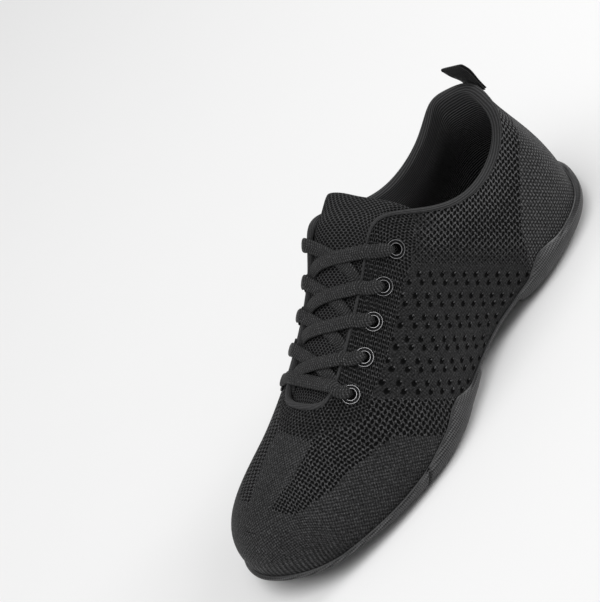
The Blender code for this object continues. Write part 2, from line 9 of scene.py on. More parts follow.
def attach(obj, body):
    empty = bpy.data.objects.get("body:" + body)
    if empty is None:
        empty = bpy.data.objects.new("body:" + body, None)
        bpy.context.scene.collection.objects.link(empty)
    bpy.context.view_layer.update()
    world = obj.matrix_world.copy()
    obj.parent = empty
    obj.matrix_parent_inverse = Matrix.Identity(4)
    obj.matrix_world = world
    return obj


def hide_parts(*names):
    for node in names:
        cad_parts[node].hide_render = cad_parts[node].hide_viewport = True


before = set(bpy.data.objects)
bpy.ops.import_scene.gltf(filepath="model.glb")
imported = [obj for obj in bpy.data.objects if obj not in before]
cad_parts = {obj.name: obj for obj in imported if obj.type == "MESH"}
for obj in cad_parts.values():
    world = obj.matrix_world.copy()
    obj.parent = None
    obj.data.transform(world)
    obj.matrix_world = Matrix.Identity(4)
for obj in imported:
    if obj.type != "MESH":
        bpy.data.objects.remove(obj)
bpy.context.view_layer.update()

# Sole: one moulded rubber cup with a heel block, a ribbed arch, a forefoot block with a raised wing and
# a turned-up toe.  It comes from a steel mould that leaves its walls finely cross-hatched, and it is glued
# round the lower edge of the upper.

MM = 0.001
MIDDLE = np.array([125.56, 0.545, 0.0])      # from the tables' heel-based millimetres to the shoe's middle
UP = np.array([0.0, 0.0, 1.0])

# The last, a row per section from the heel round the outer side to the toe; the inner side runs back
# through the same rows.  Lower edge: at, outer, inner, feather.  Upper edge: rim columns.  lean, rise and
# dip, run say how the wall leaves the one and meets the other.  pad is the thickness at the upper edge.
LAST_COLUMNS = ("at", "outer", "inner", "feather",
                "rim_at", "rim_inner_at", "rim_half", "rim_mid", "rim_outer_z", "rim_inner_z",
                "lean", "rise", "dip", "run", "pad")
LAST_ROWS = (
    (0.0,   -1.0,  1.0, 10.0,    9.5,   9.5,  0.0,  0.0, 79.0, 79.0,    6.0, 29.5, 84.0, 26.0,  4.9),
    (5.0,   13.0, 16.5, 10.0,   14.0,  14.0, 13.0,  0.0, 76.0, 78.5,    5.0, 29.0, 86.0, 26.0,  4.9),
    (20.0,  28.5, 30.0, 10.0,   22.0,  22.0, 22.0,  0.0, 69.5, 75.5,    6.5, 27.5, 86.0, 22.0,  4.9),
    (45.0,  34.0, 33.0, 10.0,   38.0,  38.0, 25.5,  0.0, 61.0, 67.0,    6.0, 24.0, 86.0, 19.0,  4.9),
    (72.0,  33.5, 30.5, 10.5,   62.0,  62.0, 28.5,  0.0, 63.0, 64.5,    6.0, 22.0, 84.0, 18.0,  4.9),
    (98.0,  33.0, 27.5, 11.0,   83.5,  86.5, 26.0,  0.0, 75.5, 77.0,    5.0, 22.0, 70.0, 18.0,  4.3),
    (120.0, 36.5, 28.0, 10.5,  101.5, 108.5, 20.0, -2.5, 90.0, 92.5,    5.0, 22.0, 50.0, 20.0,  3.0),
    (142.0, 41.0, 33.0,  9.0,  117.0, 122.5, 17.0, -2.5, 83.5, 85.5,    5.0, 22.0, 42.0, 22.0,  1.8),
    (163.0, 44.0, 40.0,  7.5,  135.0, 139.0, 16.0, -2.0, 72.3, 73.5,    5.0, 21.0, 38.0, 23.0,  1.8),
    (184.0, 42.0, 43.0,  7.0,  154.5, 156.5, 15.5, -1.8, 62.8, 63.5,    5.0, 20.0, 34.0, 23.5,  1.8),
    (204.0, 37.5, 43.0,  7.0,  170.0, 171.0, 15.5, -1.3, 56.7, 57.0,    5.0, 19.5, 31.0, 26.0,  1.8),
    (224.0, 30.5, 39.5,  8.5,  179.5, 180.0, 13.5, -1.0, 54.3, 54.0,    7.0, 20.0, 24.0, 30.0,  1.8),
    (241.0, 19.5, 31.5, 11.0,  183.6, 183.8,  8.0, -1.0, 54.5, 54.0,   10.5, 24.0, 19.0, 40.0,  1.8),
    (252.0, -7.0,  8.0, 13.0,  184.8, 184.8,  0.0, -1.0, 54.8, 54.8,   10.5, 26.0, 18.0, 42.0,  1.8),
)

# The sole along the shoe: its underside, how far that tucks in, how far the wall swells out
SOLE_ROWS = (
    (-4.0,   0.0, 11.0, 3.2),
    (20.0,   0.0, 10.5, 3.4),
    (45.0,   0.0,  9.5, 3.4),
    (63.0,   0.0, 10.0, 3.6),
    (75.0,   0.2, 10.5, 2.4),
    (82.0,   2.2, 11.5, 1.4),
    (84.0,   5.0, 12.0, 0.8),
    (105.0,  6.4, 12.0, 0.7),
    (125.0,  5.4, 11.5, 0.7),
    (127.5,  2.8, 11.0, 1.4),
    (141.0,  0.6, 10.0, 2.4),
    (155.0,  0.0,  7.5, 3.4),
    (170.0,  0.0,  6.5, 3.2),
    (185.0,  0.0,  7.0, 2.9),
    (208.0,  1.5,  8.5, 2.5),
    (232.0,  5.5, 11.0, 2.3),
    (252.0, 10.0, 13.0, 2.1),
)
# The wall's top edge: up behind the heel, into a wing beside it, away along the arch, and into the fore wing
WALL_TOP = (
    (-4.0, 15.0), (2.0, 12.0), (10.0, 10.9), (28.0, 10.6), (42.0, 11.0), (49.0, 12.1), (55.0, 14.1),
    (62.5, 15.7), (66.0, 14.7), (70.7, 12.7), (75.0, 11.0), (90.0, 11.0), (125.0, 10.6), (136.0, 10.2),
    (142.5, 12.4), (149.0, 15.0), (153.0, 15.0), (157.0, 13.9), (162.0, 12.1), (168.0, 11.0), (175.0, 9.8),
    (181.0, 8.5), (188.0, 7.6), (200.0, 7.3), (216.0, 8.0), (232.0, 9.6), (241.0, 11.4), (252.0, 13.5),
)
SOLE_SKEW = 0.12
WALL, GAP, EDGE, LIP, SEAM = 1.8, 0.35, 0.8, 0.25, 0.05


def unit(vectors):
    return vectors / np.linalg.norm(vectors, axis=-1, keepdims=True)


def level_outward(loop):
    """Level outward directions along a closed loop that runs heel, outer side, toe, inner side."""
    along = np.roll(loop, -1, axis=0) - np.roll(loop, 1, axis=0)
    return unit(np.stack([-along[:, 1], along[:, 0], np.zeros(len(loop))], axis=1))


def last_loops():
    """Once round the last: lower edge, the wall's two handles, upper edge and pad, a row per section."""
    count = len(LAST_ROWS)
    order = np.r_[np.arange(count), np.arange(count - 2, 0, -1)]
    outer_side = np.r_[np.ones(count), -np.ones(count - 2)] > 0
    col = {name: np.array([row[i] for row in LAST_ROWS])[order] for i, name in enumerate(LAST_COLUMNS)}
    feather = np.stack([col["at"], np.where(outer_side, col["outer"], -col["inner"]), col["feather"]], axis=1)
    half = np.where(outer_side, col["rim_half"], -col["rim_half"])
    rim = np.stack([np.where(outer_side, col["rim_at"], col["rim_inner_at"]), col["rim_mid"] + half,
                    np.where(outer_side, col["rim_outer_z"], col["rim_inner_z"])], axis=1)
    outward = level_outward(feather)
    fan = (feather - rim) * [1, 1, 0]
    reach = np.linalg.norm(fan, axis=1)[:, None]
    share = np.clip((reach - 6) / 10, 0, 1)
    fan = unit(share * fan / np.maximum(reach, 1e-6) + (1 - share) * outward)
    lean, dip = np.radians(col["lean"])[:, None], np.radians(col["dip"])[:, None]
    low = feather + col["rise"][:, None] * (np.cos(lean) * UP + np.sin(lean) * outward)
    high = rim + col["run"][:, None] * (np.cos(dip) * fan - np.sin(dip) * UP)
    return np.concatenate([feather, low, high, rim, col["pad"][:, None]], axis=1)


LAST_LOOPS = last_loops()
ROWS_ROUND = len(LAST_LOOPS)
EYE = np.eye(ROWS_ROUND)
LAST_BENDS = np.linalg.solve(
    4 * EYE + np.roll(EYE, 1, axis=0) + np.roll(EYE, -1, axis=0),
    6 * (np.roll(LAST_LOOPS, 1, axis=0) - 2 * LAST_LOOPS + np.roll(LAST_LOOPS, -1, axis=0)))


def read_loops(place):
    """The closed spline through the last's rows, read at places counted in rows."""
    first = np.floor(place).astype(int)
    f = (place - first)[:, None]
    i, j = first % ROWS_ROUND, (first + 1) % ROWS_ROUND
    return ((1 - f) * LAST_LOOPS[i] + f * LAST_LOOPS[j]
            - f * (1 - f) / 6 * ((2 - f) * LAST_BENDS[i] + (1 + f) * LAST_BENDS[j]))


def skin(place, height):
    """The upper's outside at places round and heights up its wall: spots, outward normals, climb."""
    place, height = np.broadcast_arrays(np.asarray(place, float), np.asarray(height, float))
    shape, t = place.shape + (3,), height.ravel()[:, None]

    def spots(at):
        c = read_loops(at)
        a, b, c, d = (c[:, 3 * k:3 * k + 3] for k in range(4))
        spot = (1 - t) ** 3 * a + 3 * t * (1 - t) ** 2 * b + 3 * t * t * (1 - t) * c + t ** 3 * d
        return spot, (1 - t) ** 2 * (b - a) + 2 * t * (1 - t) * (c - b) + t * t * (d - c)

    spot, climb = spots(place.ravel())
    onward = spots(place.ravel() + 0.01)[0] - spots(place.ravel() - 0.01)[0]
    return spot.reshape(shape), unit(np.cross(climb, onward)).reshape(shape), unit(climb).reshape(shape)


def along_sole(rows, column, x):
    """A column of the sole's rows at stations x, by a cubic that never overshoots them."""
    xs, ys = np.array([(row[0], row[column]) for row in rows]).T
    step = np.diff(xs)
    grade = np.diff(ys) / step
    both, total = grade[:-1] * grade[1:], grade[:-1] + grade[1:]
    slope = np.r_[grade[0], np.where(both > 0, 2 * both / np.where(total == 0, 1, total), 0), grade[-1]]
    x = np.clip(x, xs[0], xs[-1])
    i = np.clip(np.searchsorted(xs, x) - 1, 0, len(step) - 1)
    f = (x - xs[i]) / step[i]
    return (ys[i] * (1 + 2 * f) * (1 - f) ** 2 + slope[i] * step[i] * f * (1 - f) ** 2
            + ys[i + 1] * f * f * (3 - 2 * f) - slope[i + 1] * step[i] * f * f * (1 - f))


def ease(value, low, high):
    """0 at low to 1 at high, rounded off at both ends."""
    f = np.clip((value - low) / (high - low), 0, 1)
    return f * f * (3 - 2 * f)


def lay_grid(name, columns, rows, lay, merge=0.02):
    """A grid of faces moved to where lay(u, v) puts it, u and v running 0 to 1.

    lay gives spots in table millimetres, named pattern maps in millimetres, and named values that become
    attributes.  Edges that meet are merged.
    """
    work = bmesh.new()
    bmesh.ops.create_grid(work, x_segments=columns, y_segments=rows, size=0.5)
    mesh = bpy.data.meshes.new(name)
    work.to_mesh(mesh)
    flat = np.empty(3 * len(mesh.vertices))
    mesh.vertices.foreach_get("co", flat)
    u, v = flat.reshape(-1, 3)[:, :2].T + 0.5
    spots, maps, values = lay(u, v)
    mesh.vertices.foreach_set("co", ((spots - MIDDLE) * MM).ravel())
    for label, value in values.items():
        mesh.attributes.new(label, "FLOAT", "POINT").data.foreach_set("value", np.asarray(value, np.float32))
    corners = np.empty(len(mesh.loops), int)
    mesh.loops.foreach_get("vertex_index", corners)
    for label, pattern in maps.items():
        mesh.uv_layers.new(name=label).data.foreach_set("uv", pattern[corners].ravel().astype(np.float32))
    work.clear()
    work.from_mesh(mesh)
    bmesh.ops.remove_doubles(work, verts=work.verts, dist=merge * MM)
    bmesh.ops.recalc_face_normals(work, faces=work.faces)
    for face in work.faces:
        face.smooth = True
    work.to_mesh(mesh)
    work.free()
    return mesh


def weld(name, *meshes, merge=0.02):
    """One piece from meshes that meet."""
    work = bmesh.new()
    for mesh in meshes:
        work.from_mesh(mesh)
    bmesh.ops.remove_doubles(work, verts=work.verts, dist=merge * MM)
    bmesh.ops.recalc_face_normals(work, faces=work.faces)
    joined = bpy.data.meshes.new(name)
    work.to_mesh(joined)
    work.free()
    piece = bpy.data.objects.new(name, joined)
    bpy.context.collection.objects.link(piece)
    return piece


def fit(piece, slot, finish, *nodes):
    """Gives a piece its finish and puts it on the shoe in place of the solids."""
    piece.data.materials.append(finish.material)
    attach(piece, "root")
    if nodes:
        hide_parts(*nodes)


class Figure:
    """A number at every spot of a surface.  Arithmetic on figures adds Math nodes to the material, or, with
    no node tree, works on an array of the mesh's own spots."""

    ON_ARRAYS = {"ADD": np.add, "SUBTRACT": np.subtract, "MULTIPLY": np.multiply, "DIVIDE": np.divide,
                 "FRACT": lambda value: value - np.floor(value), "FLOOR": np.floor, "FLOORED_MODULO": np.mod,
                 "SQRT": np.sqrt}

    def __init__(self, tree, socket):
        self.tree, self.socket = tree, socket

    def work(self, operation, *others):
        if self.tree is None:
            values = [other.socket if isinstance(other, Figure) else other for other in (self, *others)]
            return Figure(None, self.ON_ARRAYS[operation](*values))
        node = self.tree.nodes.new("ShaderNodeMath")
        node.operation = operation
        for entry, value in zip(node.inputs, (self, *others)):
            if isinstance(value, Figure):
                self.tree.links.new(value.socket, entry)
            else:
                entry.default_value = value
        return Figure(self.tree, node.outputs[0])

    def __add__(self, other):
        return self.work("ADD", other)

    def __sub__(self, other):
        return self.work("SUBTRACT", other)

    def __mul__(self, other):
        return self.work("MULTIPLY", other)

    def __truediv__(self, other):
        return self.work("DIVIDE", other)

    def wave(self, pitch):
        """-1 to 1 and back once in every pitch."""
        return (self * (2 * pi / pitch)).work("SINE")

    def cell(self, pitch):
        """Where the spot lies in its own repeat, from -half a pitch to half a pitch."""
        return ((self / pitch).work("FRACT") - 0.5) * pitch

    def odd(self, pitch):
        """1 in every second repeat and 0 in the others."""
        return (self / pitch).work("FLOOR").work("FLOORED_MODULO", 2.0)

    def eased(self, low, high):
        """0 at low to 1 at high."""
        if self.tree is None:
            return Figure(None, ease(self.socket, low, high))
        node = self.tree.nodes.new("ShaderNodeMapRange")
        node.interpolation_type = "SMOOTHSTEP"
        node.inputs["From Min"].default_value = low
        node.inputs["From Max"].default_value = high
        self.tree.links.new(self.socket, node.inputs["Value"])
        return Figure(self.tree, node.outputs["Result"])


class Finish:
    """A material under way: its pattern map, its noise, and its shader's inputs."""

    def __init__(self, name, roughness, **settings):
        self.material = bpy.data.materials.new(name)
        self.material.use_nodes = True
        self.tree = self.material.node_tree
        self.shader = self.tree.nodes["Principled BSDF"]
        self.shader.inputs["Roughness"].default_value = roughness
        for label, value in settings.items():
            label = label.replace("_", " ").title().replace("Ior", "IOR")
            self.shader.inputs[label].default_value = value

    def pattern_map(self, name="pattern"):
        """Along and across the piece, in millimetres."""
        split = self.tree.nodes.new("ShaderNodeSeparateXYZ")
        source = self.tree.nodes.new("ShaderNodeUVMap")
        source.uv_map = name
        self.tree.links.new(source.outputs["UV"], split.inputs[0])
        return Figure(self.tree, split.outputs[0]), Figure(self.tree, split.outputs[1])

    def attribute(self, name):
        node = self.tree.nodes.new("ShaderNodeAttribute")
        node.attribute_name = name
        return Figure(self.tree, node.outputs["Fac"])

    def noise(self, size_mm, detail=2.0):
        """Cloudy figure about 0, from -0.5 to 0.5, with clouds of that size."""
        place = self.tree.nodes.new("ShaderNodeTexCoord")
        node = self.tree.nodes.new("ShaderNodeTexNoise")
        node.inputs["Scale"].default_value = 1 / (size_mm * MM)
        node.inputs["Detail"].default_value = detail
        self.tree.links.new(place.outputs["Object"], node.inputs["Vector"])
        return Figure(self.tree, node.outputs["Fac"]) - 0.5

    def colour(self, figure, *stops):
        """Base colour from a figure, by stops of figure and grey."""
        ramp = self.tree.nodes.new("ShaderNodeValToRGB")
        while len(ramp.color_ramp.elements) < len(stops):
            ramp.color_ramp.elements.new(1.0)
        for element, (at, (r, g, b)) in zip(ramp.color_ramp.elements, stops):
            element.position = at
            element.color = (r, g, b, 1.0)
        self.tree.links.new(figure.socket, ramp.inputs["Fac"])
        self.tree.links.new(ramp.outputs["Color"], self.shader.inputs["Base Color"])

    def rough(self, figure):
        self.tree.links.new(figure.socket, self.shader.inputs["Roughness"])

    def relief(self, height, strength=1.0):
        """Bump from a height in millimetres."""
        node = self.tree.nodes.new("ShaderNodeBump")
        node.inputs["Distance"].default_value = MM
        node.inputs["Strength"].default_value = strength
        self.tree.links.new(height.socket, node.inputs["Height"])
        self.tree.links.new(node.outputs["Normal"], self.shader.inputs["Normal"])


SOLE_LINES = 640                                    # lines round the wall
SOLE_PLACES = np.arange(SOLE_LINES + 1) * ROWS_ROUND / SOLE_LINES
SOLE_EDGE = read_loops(SOLE_PLACES)[:, :3]
SOLE_OUT = level_outward(SOLE_EDGE[:-1])[np.r_[np.arange(SOLE_LINES), 0]]
SLIT_FOOT, SLIT_TOP, SLIT_WIDE = 186.4, 171.4, 0.8   # slanting cut in the outer wall


def spots_at_level(places, level):
    """Where the skin's lines reach the given heights."""
    heights = np.linspace(0, 0.6, 61)
    lines = skin(places[:, None], heights[None, :])[0]
    found = np.empty((len(places), 3))
    for k, (line, z) in enumerate(zip(lines, level)):
        t = np.interp(z, line[:, 2], heights)
        found[k] = [np.interp(t, heights, line[:, axis]) for axis in range(3)]
    return found


def with_height(spots, z):
    spots = spots.copy()
    spots[:, 2] = z
    return spots


def sole_rings():
    """Rings of the sole's cup from its bed, up the inside, over the edge, down and under."""
    x = SOLE_EDGE[:, 0] + SOLE_SKEW * SOLE_EDGE[:, 1]
    ground, tuck, swell = (along_sole(SOLE_ROWS, column, x) for column in (1, 2, 3))
    top = np.maximum(along_sole(WALL_TOP, 1, x), SOLE_EDGE[:, 2] + LIP)
    bed = SOLE_EDGE[:, 2] - GAP
    middle = 0.5 * (bed + top)
    at_top, at_middle = spots_at_level(SOLE_PLACES, top), spots_at_level(SOLE_PLACES, middle)
    rings = [with_height(SOLE_EDGE + SEAM * SOLE_OUT, bed), with_height(at_middle + SEAM * SOLE_OUT, middle),
             with_height(at_top + SEAM * SOLE_OUT, top)]
    for share in (0.2, 0.5, 0.8):
        crown = top + 0.12 - 0.5 * (share - 0.3) ** 2
        rings.append(with_height(at_top + (SEAM + share * EDGE) * SOLE_OUT, crown))
    rings.append(with_height(at_top + (SEAM + EDGE) * SOLE_OUT, top - 0.3))
    reach = (0.4 * (SEAM + EDGE) + 0.6 * swell)[:, None]
    wall = [rings[-1], with_height(at_middle + reach * SOLE_OUT, middle)]
    wall.append(with_height(SOLE_EDGE + swell[:, None] * SOLE_OUT, bed))
    bulge = 2 * wall[1] - 0.5 * (wall[0] + wall[2])
    for share in np.linspace(0, 1, 12)[1:]:
        rings.append((1 - share) ** 2 * wall[0] + 2 * share * (1 - share) * bulge + share ** 2 * wall[2])
    for share in np.linspace(0, 1, 17)[1:]:
        turn = 0.5 * pi * share
        inset = swell - tuck * (1 - cos(turn))
        rings.append(with_height(SOLE_EDGE + inset[:, None] * SOLE_OUT, bed - (bed - ground) * sin(turn)))
    return np.array(rings)


SOLE_RINGS = sole_rings()


def lay_wall(u, v):
    line = np.rint(u * SOLE_LINES).astype(int)
    ring = np.rint(v * (len(SOLE_RINGS) - 1)).astype(int)
    spots = SOLE_RINGS[ring, line]
    slant = SLIT_FOOT + (SLIT_TOP - SLIT_FOOT) * (spots[:, 2] + 2) / 18
    slit = (spots[:, 1] > 35) * np.exp(-((spots[:, 0] - slant) / SLIT_WIDE) ** 2) * (ring > 5)
    spots = spots - 1.3 * slit[:, None] * SOLE_OUT[line]
    run = np.r_[0, np.cumsum(np.linalg.norm(np.diff(SOLE_EDGE, axis=0), axis=1))]
    pattern = np.stack([run[line], spots[:, 2]], axis=1)
    # The slit also goes on as a mask for a painted shadow in it.
    return spots, {"pattern": pattern}, {"hatch": ease(ring, 6, 8), "cut": slit}


HEEL_MIDDLE, HEEL_OVALS = (39.0, 0.5), ((31.5, 22.0), (27.0, 17.0))
PAD_MIDDLE, PAD_HALF = (165.0, 1.0), (33.0, 36.0)
SPIN_MIDDLE, SPIN_HALF = (174.0, -14.0), (17.5, 18.5)
TOE_MIDDLE, TOE_HALF = (230.0, 1.0), (13.0, 20.0)
RIB_FIRST, RIB_PITCH, RIB_COUNT = 85.5, 3.4, 11


def oval_offset(x, y, middle, half, power=2.0):
    """Roughly how far outside an oval a spot of the underside lies, in millimetres."""
    along, across = np.abs((x - middle[0]) / half[0]), np.abs((y - middle[1]) / half[1])
    return ((along ** power + across ** power) ** (1 / power) - 1) * min(half)


def channel(offset, wide, deep):
    """Depth of a moulded channel of that width, centred where the offset is zero."""
    return deep * ease(np.abs(offset), 0.5 * wide + 0.45, 0.5 * wide - 0.25)


def tread_depth(x, y):
    """How far the tread is cut up into the underside at a spot."""
    heel = [oval_offset(x, y, HEEL_MIDDLE, half, 2.2) for half in HEEL_OVALS]
    depth = np.maximum(channel(heel[0] - 0.65, 1.3, 1.0), channel(heel[1] - 0.65, 1.3, 1.0))
    hexes = sum(np.cos(2 * pi / 4.2 * (x * cos(a) + y * sin(a))) for a in (0, 2 * pi / 3, 4 * pi / 3))
    depth = np.maximum(depth, 0.45 * ease(hexes, 0.2, -0.9) * ease(heel[1], -0.3, -1.2))
    pad = oval_offset(x, y, PAD_MIDDLE, PAD_HALF, 2.6)
    spin = oval_offset(x, y, SPIN_MIDDLE, SPIN_HALF)
    toe = oval_offset(x, y, TOE_MIDDLE, TOE_HALF)
    for offset in (pad, spin, toe):
        depth = np.maximum(depth, channel(offset - 0.65, 1.3, 1.0))
    ripple = ease(np.cos(2 * pi * spin / 3.0), 0.2, 0.95)
    depth = np.maximum(depth, 0.5 * ripple * ease(pad, -0.4, -1.2) * ease(np.abs(spin - 0.65), 1.0, 1.8))
    depth = np.maximum(depth, 0.4 * ease(np.cos(2 * pi * toe / 2.6), 0.3, 0.95) * ease(toe, -0.4, -1.2))
    for number in range(RIB_COUNT):
        rib = RIB_FIRST + number * RIB_PITCH - SOLE_SKEW * y + 3.0 * ((y - 8.0) / 53.0) ** 2 + 0.75
        depth = np.maximum(depth, channel(x - rib, 1.5, 1.1) * ease(y, 9.0, 6.0))
    return depth


def lay_underside(u, v):
    """Strips across the underside from one side's lowest ring to the other's."""
    line = np.rint(u * SOLE_LINES / 2).astype(int)
    spots = (1 - v)[:, None] * SOLE_RINGS[-1][line] + v[:, None] * SOLE_RINGS[-1][SOLE_LINES - line]
    spots[:, 2] += tread_depth(spots[:, 0], spots[:, 1]) * ease(v, 0, 0.02) * ease(v, 1, 0.98)
    return spots, {"pattern": spots[:, :2]}, {"hatch": np.zeros(len(u)), "cut": np.zeros(len(u))}


sole = weld("rubber_sole", lay_grid("sole_wall", SOLE_LINES, len(SOLE_RINGS) - 1, lay_wall),
            lay_grid("sole_underside", SOLE_LINES // 2, 120, lay_underside))
rubber = Finish("moulded_rubber", 0.45, specular_ior_level=0.32)
along, up = rubber.pattern_map()
hatch = rubber.attribute("hatch")
weft = (along + up).wave(2.1) * (along - up).wave(2.1)
cloud = rubber.noise(9.0, 4.0)
grit = rubber.noise(0.8)
# Painted shadow: the colour is darkened in the slanting slit.
rubber.colour(weft * hatch * 0.45 + cloud * 0.2 + grit * 0.6 + 0.52 - rubber.attribute("cut") * 0.6,
              (0.0, (0.003, 0.003, 0.003)), (0.35, (0.017, 0.017, 0.0174)), (0.95, (0.09, 0.09, 0.092)))
rubber.rough(cloud * 0.12 + 0.38)
rubber.relief(weft * hatch * 0.12 + grit * 0.05)
fit(sole, "rubber", rubber, "outsole")

# Insole: a die-cut foam bed faced with brushed cloth, laid loose inside the upper on the sole.  Little of it
# shows, deep in the collar, so its solid stays and takes the cloth's finish.

cloth = Finish("insole_cloth", 0.95, specular_ior_level=0.2, sheen_weight=0.05)
nap = cloth.noise(0.8, 3.0)
cloth.colour(nap + cloth.noise(14.0) * 0.5 + 0.5,
             (0.2, (0.003, 0.003, 0.0032)), (0.8, (0.012, 0.012, 0.0125)))
cloth.relief(nap * 0.12)
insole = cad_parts["insole"]
insole.data.materials.clear()
insole.data.materials.append(cloth.material)

# Upper: one knitted shell drawn over the last, with open mesh at the ankle and on the vamp, paired air holes
# along the side and a denser heel.  Its ribbed lining is rolled over a foam collar and sewn down inside.

UPPER_LINES, UPPER_STEPS = 720, (0, 104, 112, 130, 131)    # lines round; rows at foot, rim, rim inside, foot
TOE_TURN_AT, TOE_TURN, TOE_MID = 198.0, -0.116, 1.5        # the toe box turns inward from this station
COURSE_TURN = (0.77, 0.64)                                 # the side's courses run aslant, foot to heel
ANKLE_END, SIDE_END, BAND_END = 39.7, 100.4, 116.7         # courses where the side's zones change
FAN_MIDDLE, FAN_REACH = 152.0, 38.0                        # the pinholes fan out round the throat's end
EYELETS = ((6.08, 0.79), (7.03, 0.785), (7.88, 0.81), (8.60, 0.80), (9.50, 0.81))    # place, height
EYELET_HOLE = 3.2
DIMPLE = 0.45                                              # depth of the air holes
EDGE_STEP = 18.7                                           # millimetres round the lower edge from row to row
AIR_START, AIR_ROW, AIR_PITCH = 46.7, 4.85, 6.42           # the air holes' first course, and their spacing
# Zone edges, each as places and what the edge is there
HEEL_FRONT = ((12, 22, 31, 39, 43, 52, 58, 60), (68, 62, 57, 46, 40, 27, 16, -9))     # by height
EYESTAY_START = 5.3
EYESTAY_FOOT = ((5.3, 5.6, 5.95, 6.5, 12.0), (0.95, 0.76, 0.67, 0.645, 0.635))        # by place round
EYESTAY_TIP = ((0, 10, 16.5, 21.5, 25.3, 27.2, 30),                                   # out from the ridge
               (198.5, 198.5, 190.5, 183.5, 174.7, 168, 160))
WEDGE_START, WEDGE_TIP = 177, 232
WEDGE_INNER = ((198, 205, 212, 219, 226, 230), (12.0, 12.1, 11.8, 10.4, 8.3, 7.6))    # along the vamp
WEDGE_OUTER = ((177, 184, 193, 201, 210, 218, 225, 229, 232), (34, 32, 30.4, 28.4, 27, 24.9, 22, 19.5, 11))


def wall_at(place, height):
    """Wall thickness: thin knit below, growing into the padded collar above."""
    pad = read_loops(np.ravel(place))[:, 12].reshape(np.shape(place))
    return WALL + (pad - WALL) * ease(height, 0.35, 0.85)


def shell(place, height, turn):
    """Spots of the wall and the way they face: turn 0 outside, half a turn inside, the rim between."""
    spot, normal, climb = skin(place, height)
    thick, turn = wall_at(place, height)[:, None], np.broadcast_to(turn, np.shape(place))[:, None]
    spot = spot - 0.5 * thick * (1 - np.cos(turn)) * normal + 0.35 * thick * np.sin(turn) * climb
    return spot, unit(np.cos(turn) * normal + np.sin(turn) * climb)


def knit_courses(spot):
    """The side laid out by courses and wales, and the vamp laid flat: along it and out from its ridge."""
    x, y, z = spot.T
    across, along = COURSE_TURN
    course, wale = across * x - along * z, along * x + across * z
    ridge = skin(np.full(60, ROWS_ROUND / 2), np.linspace(1, 0, 60))[0]
    level = np.interp(x, ridge[:, 0], ridge[:, 2]) + 0.35 * np.maximum(ridge[0, 0] - x, 0)
    off = y - TOE_MID - TOE_TURN * (x - TOE_TURN_AT)
    steps = np.linalg.norm(np.diff(ridge, axis=0), axis=1) - np.diff(ridge[:, 0])
    steep = np.interp(z, ridge[::-1, 2], np.r_[0, np.cumsum(steps)][::-1])
    ahead = x + steep * ease(x - 0.6 * np.abs(off), 205, 225)
    return course, wale, ahead, np.where(off < 0, -1, 1) * np.hypot(off, np.maximum(level - z, 0)), off


def heel_laid_flat(place):
    """How much farther back the heel's wall reaches when it is laid flat with the side."""
    rows = np.linspace(3, 0, 61)
    line = skin(rows, np.full(61, 0.5))[0]
    run = np.r_[0, np.cumsum(np.linalg.norm(np.diff(line[:, :2], axis=0), axis=1))]
    return np.interp(np.minimum(place, ROWS_ROUND - place), rows[::-1], (line[0, 0] - run - line[:, 0])[::-1])


def knit_zones(spot, place, height):
    """Radii of the knit's pinholes, mesh and paired holes; where its heel, vamp and toe are; painted light
    and shade.
    """
    x, _, z = spot.T
    near = np.minimum(place, ROWS_ROUND - place)
    course, _, _, _, off = knit_courses(spot)
    off = np.abs(off)
    heel_front = np.interp(z, *HEEL_FRONT)
    heel = ease(x, heel_front + 0.5, heel_front - 0.5)
    eyestay, tip = np.interp(near, *EYESTAY_FOOT), np.interp(off, *EYESTAY_TIP)
    stay = ease(height, eyestay - 0.008, eyestay + 0.008) * ease(near, EYESTAY_START, EYESTAY_START + 0.1)
    stay = stay * ease(x, tip + 0.6, tip - 0.6)
    ankle_end = ANKLE_END + ease(z, 22, 12) * 3.5          # the ankle mesh ends a little lower at the sole
    ankle = ease(course, ankle_end + 0.5, ankle_end - 0.5) * (1 - heel) * (1 - stay)
    beside = np.maximum((eyestay - height) * 60, (EYESTAY_START + 0.05 - near) * EDGE_STEP)
    inward = ease(course, ankle_end, ankle_end - 15) * ease(beside, -1, 14)
    # Painted light and shade: the ankle mesh lighter towards the collar, where it turns up to the light, the
    # side zone darker.
    tone = 0.2 * ankle * inward * ease(height, 0.66, 0.95)
    tone -= 0.1 * (1 - inward) * (1 - heel) * (1 - stay) * ease(course, SIDE_END, SIDE_END - 1)
    ankle = ankle * (0.5 + 0.5 * inward)
    side = ease(course, ankle_end, ankle_end + 1) * ease(course, SIDE_END, SIDE_END - 1) * (1 - stay)
    inner, outer = np.interp(x, *WEDGE_INNER), np.interp(x, *WEDGE_OUTER)
    wedge = ease(off, inner - 0.5, inner + 0.5) * ease(off, outer + 0.5, outer - 0.5)
    wedge = wedge * ease(x, WEDGE_TIP, WEDGE_TIP - 1)
    wedge = np.where(x > WEDGE_START, wedge, ease(course, BAND_END + 0.5, BAND_END - 0.5)) * (1 - stay)
    wedge = wedge * ease(course, SIDE_END - 0.5, SIDE_END + 0.5)
    return {"pinholes": 0.58 * stay, "mesh": 1.02 * ankle + 0.9 * wedge,
            "pairs": 1.2 * side * ease(height, 0.005, 0.02),
            "heel": heel, "fore": ease(course, SIDE_END - 0.2, SIDE_END + 0.2),
            "toe_edge": ease(x, 214, 240) * ease(z, 28, 18), "round": EDGE_STEP * place, "tone": tone}


def lattice(row, row_pitch, along, pitch, radius, slant=0.0):
    """1 inside staggered holes of that radius, slanting one way and the other in turn."""
    odd, aside = row.odd(row_pitch), row.cell(row_pitch)
    ahead = (along + odd * (0.5 * pitch) + aside * (odd - 0.5) * slant).cell(pitch)
    return ((aside * aside + ahead * ahead).work("SQRT") - radius).eased(0.2, -0.25)


